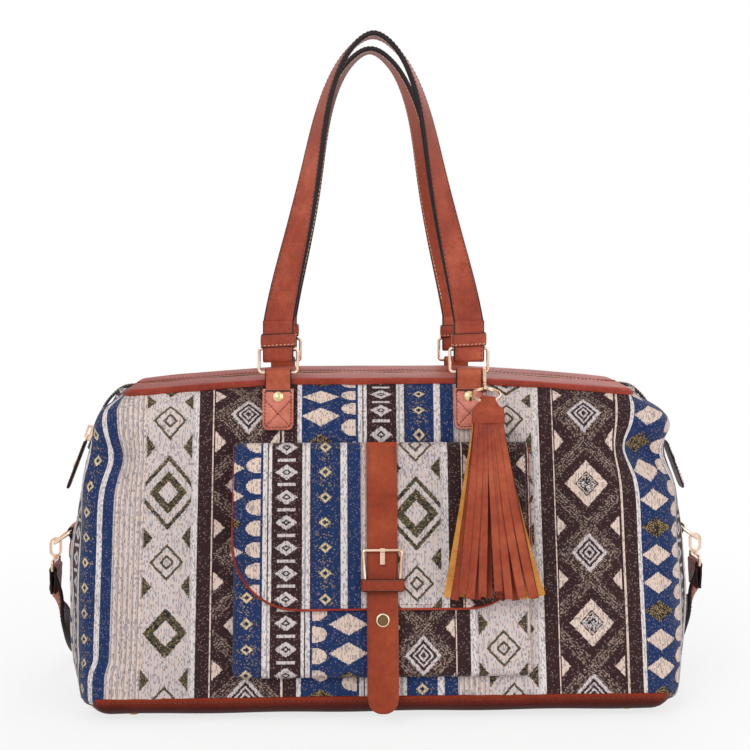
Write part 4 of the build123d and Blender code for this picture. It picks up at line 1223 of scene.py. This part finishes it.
def handle(name, flip, node):
    # Left half of the arch, from the leg to the top. The right half mirrors it about x = -5.5
    low = [(-84, -57.5, 309.6), (-68.6, -56.2, 381.1), (-56.5, -53.9, 439.6), (-43.2, -50.3, 500.6),
           (-34.8, -49.0, 521.5), (-21.5, -47.6, 540.5), (-5.5, -46.6, 549.4)]
    points = low + [(-11 - x, y, z) for x, y, z in low[-2::-1]]
    line = smooth_line(points, 150, (0.16, 0, 1), (0.16, 0, -1))
    leg = np.linspace(299.0, 308.0, 5)
    line = np.concatenate([[(-84, -57.5, z) for z in leg], line, [(73, -57.5, z) for z in leg[::-1]]])
    share = np.clip((np.arange(len(line)) - 5) / (len(line) - 11), 0, 1)
    t = ahead(line)
    up_leg = np.minimum(share, 1 - share) * 2
    # The strap faces forwards at its legs and outwards at its top
    turn = ((pi / 2) * (1.3 * up_leg - 0.3 * up_leg**2))[:, None]
    facing = unit(-Y * np.cos(turn) + unit(-np.cross(Y, t)) * np.sin(turn))
    across = unit(np.cross(t, facing))
    facing = unit(np.cross(across, t))
    shape = Shape()
    section, parts = band_section(STRAP, 4.0, 0.35, around=5, flat=9)
    section = each(section, len(line))
    section[:, :, 0] *= ((STRAP - 0.5 * np.sin(pi * up_leg)) / STRAP)[:, None]
    shape.sweep(line * flip, across * flip, facing * flip, section, parts)
    row = {"pitch": 3.7, "lift": 0.08}
    for edge in (-1, 1):
        for face, lift, mat in ((1, 2.15, 3), (-1, 2.0, 4)):
            path = line + across * edge * 10.0 + facing * face * lift
            shape.stitches(path[10:-10] * flip, (facing * face)[10:-10] * flip, mat, length=2.7,
                           radius=0.36, **row)
    # Ends folded round the rings' bars
    y, bar, r = -LEG_Y, 281.6, 2.38
    fold = [(y - 2.2, 312.5), (y - 2.4, 303.5), (y - r, 297.0), (y - r, 289.0)]
    fold += [(y - r * math.cos(a), bar - r * math.sin(a)) for a in np.linspace(0, pi, 9)]
    fold += [(y + r, 289.0), (y + r, 297.0), (y + 1.9, 303.5), (y + 1.0, 309.0)]
    yz = smooth_line(fold, 60)
    for x in HANDLE_X.values():
        centre = np.stack([np.full(len(yz), x), yz[:, 0], yz[:, 1]], 1) * flip
        facing = shape.fold(centre, X, np.array([x, y, 289.0]) * flip, *band_section(STRAP, 1.95, 0.1))
        for edge in (-1, 1):
            path = centre + X * edge * 10.0 + facing
            shape.stitches(path[14:-14], facing[14:-14], 3, radius=0.34, **row)
    shape.done(name, node, ["handle", "edge", "lining", "dark_thread", "cream_thread"],
               node)


def keeper(name, y, x, node, body):
    """Leather band round the doubled strap, with a stitched lower edge."""
    box = round_box(-13.3, 13.3, -4.15, 4.15, 2.0, 6)
    points = []
    for a, b in zip(box, np.roll(box, -1, 0)):
        steps = max(1, int(np.linalg.norm(b - a) / 3))
        points += [a + (b - a) * k / steps for k in range(steps)]
    points = np.array(points)
    height, tilt = 296.6, 0.05
    centre = np.stack([x + points[:, 0], y + points[:, 1], height + tilt * points[:, 0]], 1)
    section, parts = band_section(11.0, 1.35, 0.5, flat=7)
    shape = Shape()
    facing = shape.fold(centre, Z, [x, y, height], section, [1 if q == EDGE else 0 for q in parts],
                        closed=True)
    face = np.concatenate([facing, facing[:1]])
    loop = np.concatenate([centre, centre[:1]]) + face * 0.75
    row = {"pitch": 3.1, "length": 2.4, "lift": 0.1}
    shape.stitches(loop - 3.6 * Z, face, 2, radius=0.36, slant=0.35, **row)
    shape.stitches(loop + 3.6 * Z, face, 3, radius=0.3, **row)
    shape.done(name, body, ["handle", "edge", "cream_thread", "dark_thread"], node)


for face, flip in FLIPS.items():
    handle("strap_handle_" + face, flip, "handle_" + face)
    for leg, x in HANDLE_X.items():
        keeper("keeper_band_" + face + "_" + leg, -LEG_Y * flip[1], x,
               "handle_keeper_" + face + "_" + leg, "handle_" + face)

# ---------------------------------------------------------------- tassel

PIVOT = np.array([85.6, -85.49, 249.12])
LEAN = math.radians(1.5)
DOWN = -FACE_UP * math.cos(LEAN) - FACE_OUT * math.sin(LEAN)
OUT = np.array([0, DOWN[2], -DOWN[1]])


def tassel_wrap():
    """Loop round the split ring, and the gathered, slightly pleated head under it."""
    shape = Shape()
    ring_r = 3.4
    fold = [(10.0, 2.3), (6.0, 2.9)]
    fold += [(-ring_r * math.cos(a), ring_r * math.sin(a)) for a in np.linspace(pi / 2, -pi / 2, 11)]
    fold += [(6.0, -2.9), (10.0, -2.3)]
    line = smooth_line(fold, 50)
    half = np.interp(line[:, 0], [-4, 0, 5, 10], [6.0, 6.2, 9.5, 12.4])
    base, parts = band_section(2.0, 1.6, 0.1)
    section = each(base, len(line))
    section[:, :, 0] = np.sign(base[:, 0]) * (np.abs(base[:, 0]) - 0.2) / 0.8 * half[:, None]
    shape.fold(PIVOT + line[:, :1] * DOWN + line[:, 1:] * OUT, X, PIVOT, section,
               [1 if q == UNDER_SIDE else 0 for q in parts])
    # Distance down, half width and half depth of each ring of the head
    head = [(5.2, 6.0, 1.6), (4.4, 9.5, 2.9), (5.0, 11.6, 3.6), (7.0, 12.8, 4.2), (10.0, 13.1, 4.5),
            (13.0, 13.3, 4.6), (15.6, 13.5, 4.6), (17.2, 13.6, 4.6), (18.0, 13.4, 4.4),
            (18.1, 12.6, 3.8), (17.0, 11.8, 3.3)]
    a = np.linspace(0, 2 * pi, 49)[:-1]
    rows = []
    for i, (drop, wide, deep) in enumerate(head):
        pleat = 1 + 0.05 * np.sin(9 * a + 0.6) * min(1.0, i / 4) + 0.03 * np.sin(5 * a)
        x = np.sign(np.cos(a)) * np.abs(np.cos(a)) ** 0.75 * wide
        y = np.sign(np.sin(a)) * np.abs(np.sin(a)) ** 0.8 * deep * pleat
        rows.append(PIVOT + drop * DOWN + x[:, None] * X + y[:, None] * OUT)
    shape.shell(np.concatenate(rows), tube_faces(len(rows), len(a)))
    shape.done("tassel_wrap", "tassel", ["tassel", "maroon", "dark_thread"],
               "tassel_head")


def tassel_strips():
    """Cut strips, each with its own lean, curl and length."""
    shape = Shape()
    rng = np.random.default_rng(11)
    stations, start = 26, 13.0
    f = np.linspace(0, 1, stations)
    # Count, reach to the sides, fan in degrees, half width and shortening of each layer
    layers = [(8, 11.4, 12.7, 3.4, 0), (8, 10.6, 10.2, 3.6, 2.0), (7, 10.2, 9.4, 3.95, 3.0)]
    turned = {(0, 0), (0, 1), (0, 7), (1, 6)}
    for layer, (count, reach, fan, half, shorter) in enumerate(layers):
        depth = (layer - 1) * 2.6
        for k in range(count):
            share = (k + 0.5) / count * 2 - 1
            wide = half + 0.35 * (rng.random() - 0.5)
            lean = math.radians(fan) * share + math.radians(1.6) * (rng.random() - 0.5)
            lean += math.radians(1.2)
            length = 158.0 - 7.0 * rng.random() - shorter
            d = f * (length - start)
            bow = 2.4 * (rng.random() - 0.5)
            x = share * reach + np.tan(lean) * d * (0.66 + 0.34 * f) + bow * np.sin(pi * f)
            y = 1.5 * np.sin(pi * f * (1.1 + 0.7 * rng.random()) + rng.random()) * f
            y += depth * (1 + 1.7 * f)
            curve = PIVOT + (start + d)[:, None] * DOWN + x[:, None] * X + y[:, None] * OUT
            t = ahead(curve)
            twist = math.radians(52) * (rng.random() - 0.5) * f + math.radians(12) * share * f
            front = unit(np.cross(t, X))
            front = front * np.sign(np.sum(front * OUT, 1))[:, None]
            side = unit(np.cross(front, t))
            face = unit(front * np.cos(twist)[:, None] + side * np.sin(twist)[:, None])
            across = unit(np.cross(t, face))
            across = across * np.sign(np.sum(across * X, 1) + 1e-6)[:, None]
            base, parts = band_section(2 * wide, 1.25, -0.2, around=2, flat=5)
            section = each(base, stations)
            section[:, :, 0] *= np.interp(f, [0, 0.3, 0.7, 1], [0.62, 0.82, 0.97, 1.0])[:, None]
            skin = (1, 1, 0) if (layer, k) in turned else (0, 2, 1)
            shape.sweep(curve, across, face, section, [skin[q] for q in parts])
    shape.done("tassel_strips", "tassel", ["tassel", "ochre", "maroon"],
               "tassel_fringe")


tassel_wrap()
tassel_strips()

# ---------------------------------------------------------------- zip pull and end tab

# The way up and out at the right end of the zip. The left end mirrors it
END_UP = np.array([-0.35242, 0, 0.935842])
END_OUT = np.array([0.935842, 0, 0.35242])
MIRROR = np.array([-1.0, 1, 1])


def zip_pull():
    pivot = np.array([-249.18, 0, 211.55])
    up, out = END_UP * MIRROR, END_OUT * MIRROR

    def at(x, v, off):
        return on_plane(pivot, Y, up, out, x, v, off)

    shape = Shape()
    ring = round_box(0, 5.7, -2.6, 2.6, 0.9, 5)
    centre = at(ring[:, 1], -ring[:, 0], 0)
    facing = each(out, len(centre))
    shape.sweep(centre, unit(np.cross(ahead(centre, True), facing)), facing, circle(10, 0.78, 0.78), 3,
                closed=True)
    x, v, d = round_tag(spread(11), np.linspace(0, 1, 40), 4.5, -49.0, 3.0, -5.0, 2.6)
    lift = 1.25 - 0.5 * round_drop(d, 1.3)
    shape.slab(at(x, v, lift), at(x, v, -lift), np.stack([x, v], -1), edge=1)
    for side in (-1, 1):
        shape.stitches(at(side * 3.1, -np.linspace(9, 46, 30), 1.25), out, 2, pitch=2.9, length=2.1,
                       radius=0.28, lift=0.05)
    shape.done("pull_tag", "zip_pull", ["maroon", "edge", "cream_thread", "pale"],
               "zip_pull")


def end_tab():
    low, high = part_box("zip_end_tab")
    centre = (np.array(low) + np.array(high)) / 2 / MM

    def at(x, v, off):
        return on_plane(centre, Y, END_UP, END_OUT, x, v, off)

    shape = Shape()
    x, v, d = round_tag(spread(15), np.linspace(0, 1, 36), 9.0, -22.0, 3.6, 22.0, 3.6)
    lift = 0.95 + 0.5 * step01(d, 1.5, 4) - 0.5 * round_drop(d, 1.2) + 0.7 * hump(v, 6, 3.5)
    shape.slab(at(x, v, lift), at(x, v, -0.95), np.stack([x, v], -1), edge=1)
    rim = [(-7.2, 19.5), (-7.2, 0), (-7.2, -19.0), (-4.5, -20.4), (0, -20.4)]
    rim += [(-a, b) for a, b in rim[-2::-1]]
    line = smooth_line(rim, 80)
    shape.stitches(at(line[:, 0], line[:, 1], 1.2), END_OUT, 2, pitch=3.0, length=2.2, radius=0.3,
                   lift=0.1)
    shape.done("end_tab", "bag", ["maroon", "edge", "tan_thread"], "zip_end_tab")


zip_pull()
end_tab()

# ---------------------------------------------------------------- shoulder strap


def shoulder_strap():
    x0, top, behind, turn, low = 276.66, 98.08, 118.0, 30.0, 12.7
    start, reach = top - 16, 92
    # From each hook the strap falls, bends back along the floor and turns behind the bag
    f = np.linspace(0, 1, 40)
    chord = math.hypot(reach, start - low)
    y = reach * (3 * f**2 - 2 * f**3) + chord * (f**3 - f**2)
    z = (start * (2 * f**3 - 3 * f**2 + 1) + low * (3 * f**2 - 2 * f**3)
         - chord * (f**3 - 2 * f**2 + f))
    half = [(-x0, 0.0, top - 4), (-x0, 0.0, top - 10)]
    half += [(-x0, a, b) for a, b in zip(y, z) if a < 86]
    half += [(-x0 + turn * (1 - math.cos(q)), behind - turn + turn * math.sin(q), low)
             for q in np.linspace(0, pi / 2, 14)]
    half += [(x, behind, low) for x in np.linspace(-x0 + turn + 15, 0, 16)]
    half = np.array(half)
    line = np.concatenate([half, half[-2::-1] * MIRROR])
    line[:, 0] *= 1 - 0.024 * step01(80 - line[:, 2], 0, 34)
    t = ahead(line)
    out = unit(np.stack([t[:, 1], -t[:, 0], 0 * t[:, 0]], 1))
    at_side = (line[:, 1] < 87) & (line[:, 0] != 0)
    out[at_side] = np.sign(line[at_side, :1]) * X
    out = out * np.where(np.sum(out * (line * [1, 1, 0]), 1) < 0, -1.0, 1.0)[:, None]
    # The hooks turn the strap a little to the front just under them
    twist = (np.radians(34) * hump(line[:, 2], 76, 15) * (line[:, 1] < 60))[:, None]
    across = unit(np.cross(out, t))
    front = np.where(across[:, 1] > 0, -1.0, 1.0)[:, None] * across
    out = unit(out * np.cos(twist) + front * np.sin(twist))
    across = unit(np.cross(out, t))
    shape = Shape()
    section, parts = band_section(STRAP, 3.0, 0.2, around=4, flat=7)
    shape.sweep(line, across, out, section, parts)
    for edge in (-1, 1):
        for face, lift in ((1, 1.65), (-1, -1.5)):
            path = line + across * edge * 10.0 + out * lift
            shape.stitches(path[3:-3], (out * face)[3:-3], 3, pitch=4.2, length=3.0, radius=0.34,
                           lift=0.05)
    # Ends folded over the hooks' bars and stitched down
    r = 2.46
    fold = [(1.4, 78.0), (1.6, 84.0), (2.1, 91.0)]
    fold += [(r * math.cos(q), top + r * math.sin(q)) for q in np.linspace(-0.3, pi + 0.3, 13)]
    fold += [(-2.1, 91.0), (-1.6, 84.0), (-1.4, 78.0)]
    xz = smooth_line(fold, 60)
    for sign in (-1, 1):
        centre = np.stack([sign * x0 + xz[:, 0], 0 * xz[:, 0], xz[:, 1]], 1)
        shape.fold(centre, Y, [sign * x0, 0, 90.0], *band_section(STRAP, 1.9, 0.1))
        row = on_plane([sign * (x0 + 2.55), 0, 80.5], Y, Z, X, np.linspace(-9.5, 9.5, 14), 0, 0)
        shape.stitches(row, [sign, 0, 0], 3, pitch=3.0, length=2.2, radius=0.34, lift=0.1)
    shape.done("carry_strap", "bag", ["handle", "edge", "maroon", "dark_thread"],
               "shoulder_strap")


shoulder_strap()

# ---------------------------------------------------------------- parts that keep their solids

DRESS = {
    "pale": ("ring_", "d_ring", "snap_hook", "snap_gate", "charm_", "split_ring", "buckle_",
             "zip_slider", "zip_pull_rivet"),
    "brass": ("feet", "tab_rivets", "snap_socket"),
    "snap": ("snap_cap",),
    "board": ("base_board",),
}
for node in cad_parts:
    for mat, starts in DRESS.items():
        if node.startswith(starts):
            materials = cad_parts[node].data.materials
            materials.clear()
            materials.append(M[mat])

# ---------------------------------------------------------------- floor, light and camera


def floor_material():
    """White sweep: shaded near the bag, and plain white further out."""
    n = Net("floor")
    p = n.make("ShaderNodeNewGeometry", output="Position")
    n.set(colour=n.ramp(n.noise(p, 3.0, 2.0), [(0.3, (0.86, 0.86, 0.87, 1)), (0.7, grey(0.9))]),
          rough=0.9, spec=0.1)
    far = n.make("ShaderNodeVectorMath", {0: p}, "Value", operation="LENGTH")
    white = n.make("ShaderNodeRGBToBW", {0: n.ramp(far * 0.5, [(0.15, grey(0.76)), (0.34, grey(1))])})
    path = n.node("ShaderNodeLightPath").outputs
    seen = n.math("MAXIMUM", path["Is Camera Ray"], path["Is Glossy Ray"])
    glow = n.make("ShaderNodeEmission", {0: grey(1)})
    n.put(n.out.inputs[0],
          n.make("ShaderNodeMixShader", {0: white * seen, 1: n.bsdf.outputs[0], 2: glow}))
    return n.mat


bpy.ops.mesh.primitive_plane_add(size=40, location=(0, 0, 0))
floor = bpy.context.object
floor.name = "floor"
floor.data.materials.append(floor_material())

world = bpy.data.worlds.new("studio")
bpy.context.scene.world = world
world.use_nodes = True
sky = Nodes(world.node_tree)
path = sky.node("ShaderNodeLightPath").outputs
seen = sky.math("MAXIMUM", path["Is Camera Ray"], path["Is Transmission Ray"])
seen = sky.math("MAXIMUM", seen, path["Is Glossy Ray"])
lit = sky.make("ShaderNodeBackground", {0: (1.0, 0.99, 0.98, 1), 1: 0.62})
plain = sky.make("ShaderNodeBackground", {0: grey(1), 1: 1.0})
sky.put(sky.node("ShaderNodeOutputWorld").inputs[0],
        sky.make("ShaderNodeMixShader", {0: seen, 1: lit, 2: plain}))


def show(name, data):
    o = bpy.data.objects.new(name, data)
    bpy.context.scene.collection.objects.link(o)
    return o


def lamp(name, place, power, size, colour=(1, 1, 1)):
    """Square lamp aimed at the bag."""
    data = bpy.data.lights.new(name, "AREA")
    data.energy = power
    data.size = size
    data.color = colour
    o = show(name, data)
    o.location = place
    way = np.array((0, 0, 0.2)) - np.array(place)
    o.rotation_euler = Vector(way).to_track_quat("-Z", "Y").to_euler()


lamp("key", (-1.3, -2.2, 1.9), 32, 1.4, (1, 0.98, 0.95))
lamp("fill", (1.9, -1.6, 1.1), 20, 1.6)
lamp("rim", (0.6, 2.0, 1.8), 16, 1.6)

cam = bpy.data.cameras.new("camera")
cam.lens = 66.1
cam.sensor_width = 36
cam.shift_x = -0.004
cam.shift_y = -0.1787
camera = show("camera", cam)
camera.location = (-0.0416, -1.191, 0.378)
camera.rotation_euler = (pi / 2, 0, -math.atan2(0.0416, 1.191))
bpy.context.scene.camera = camera
bpy.context.scene.view_settings.view_transform = "Standard"
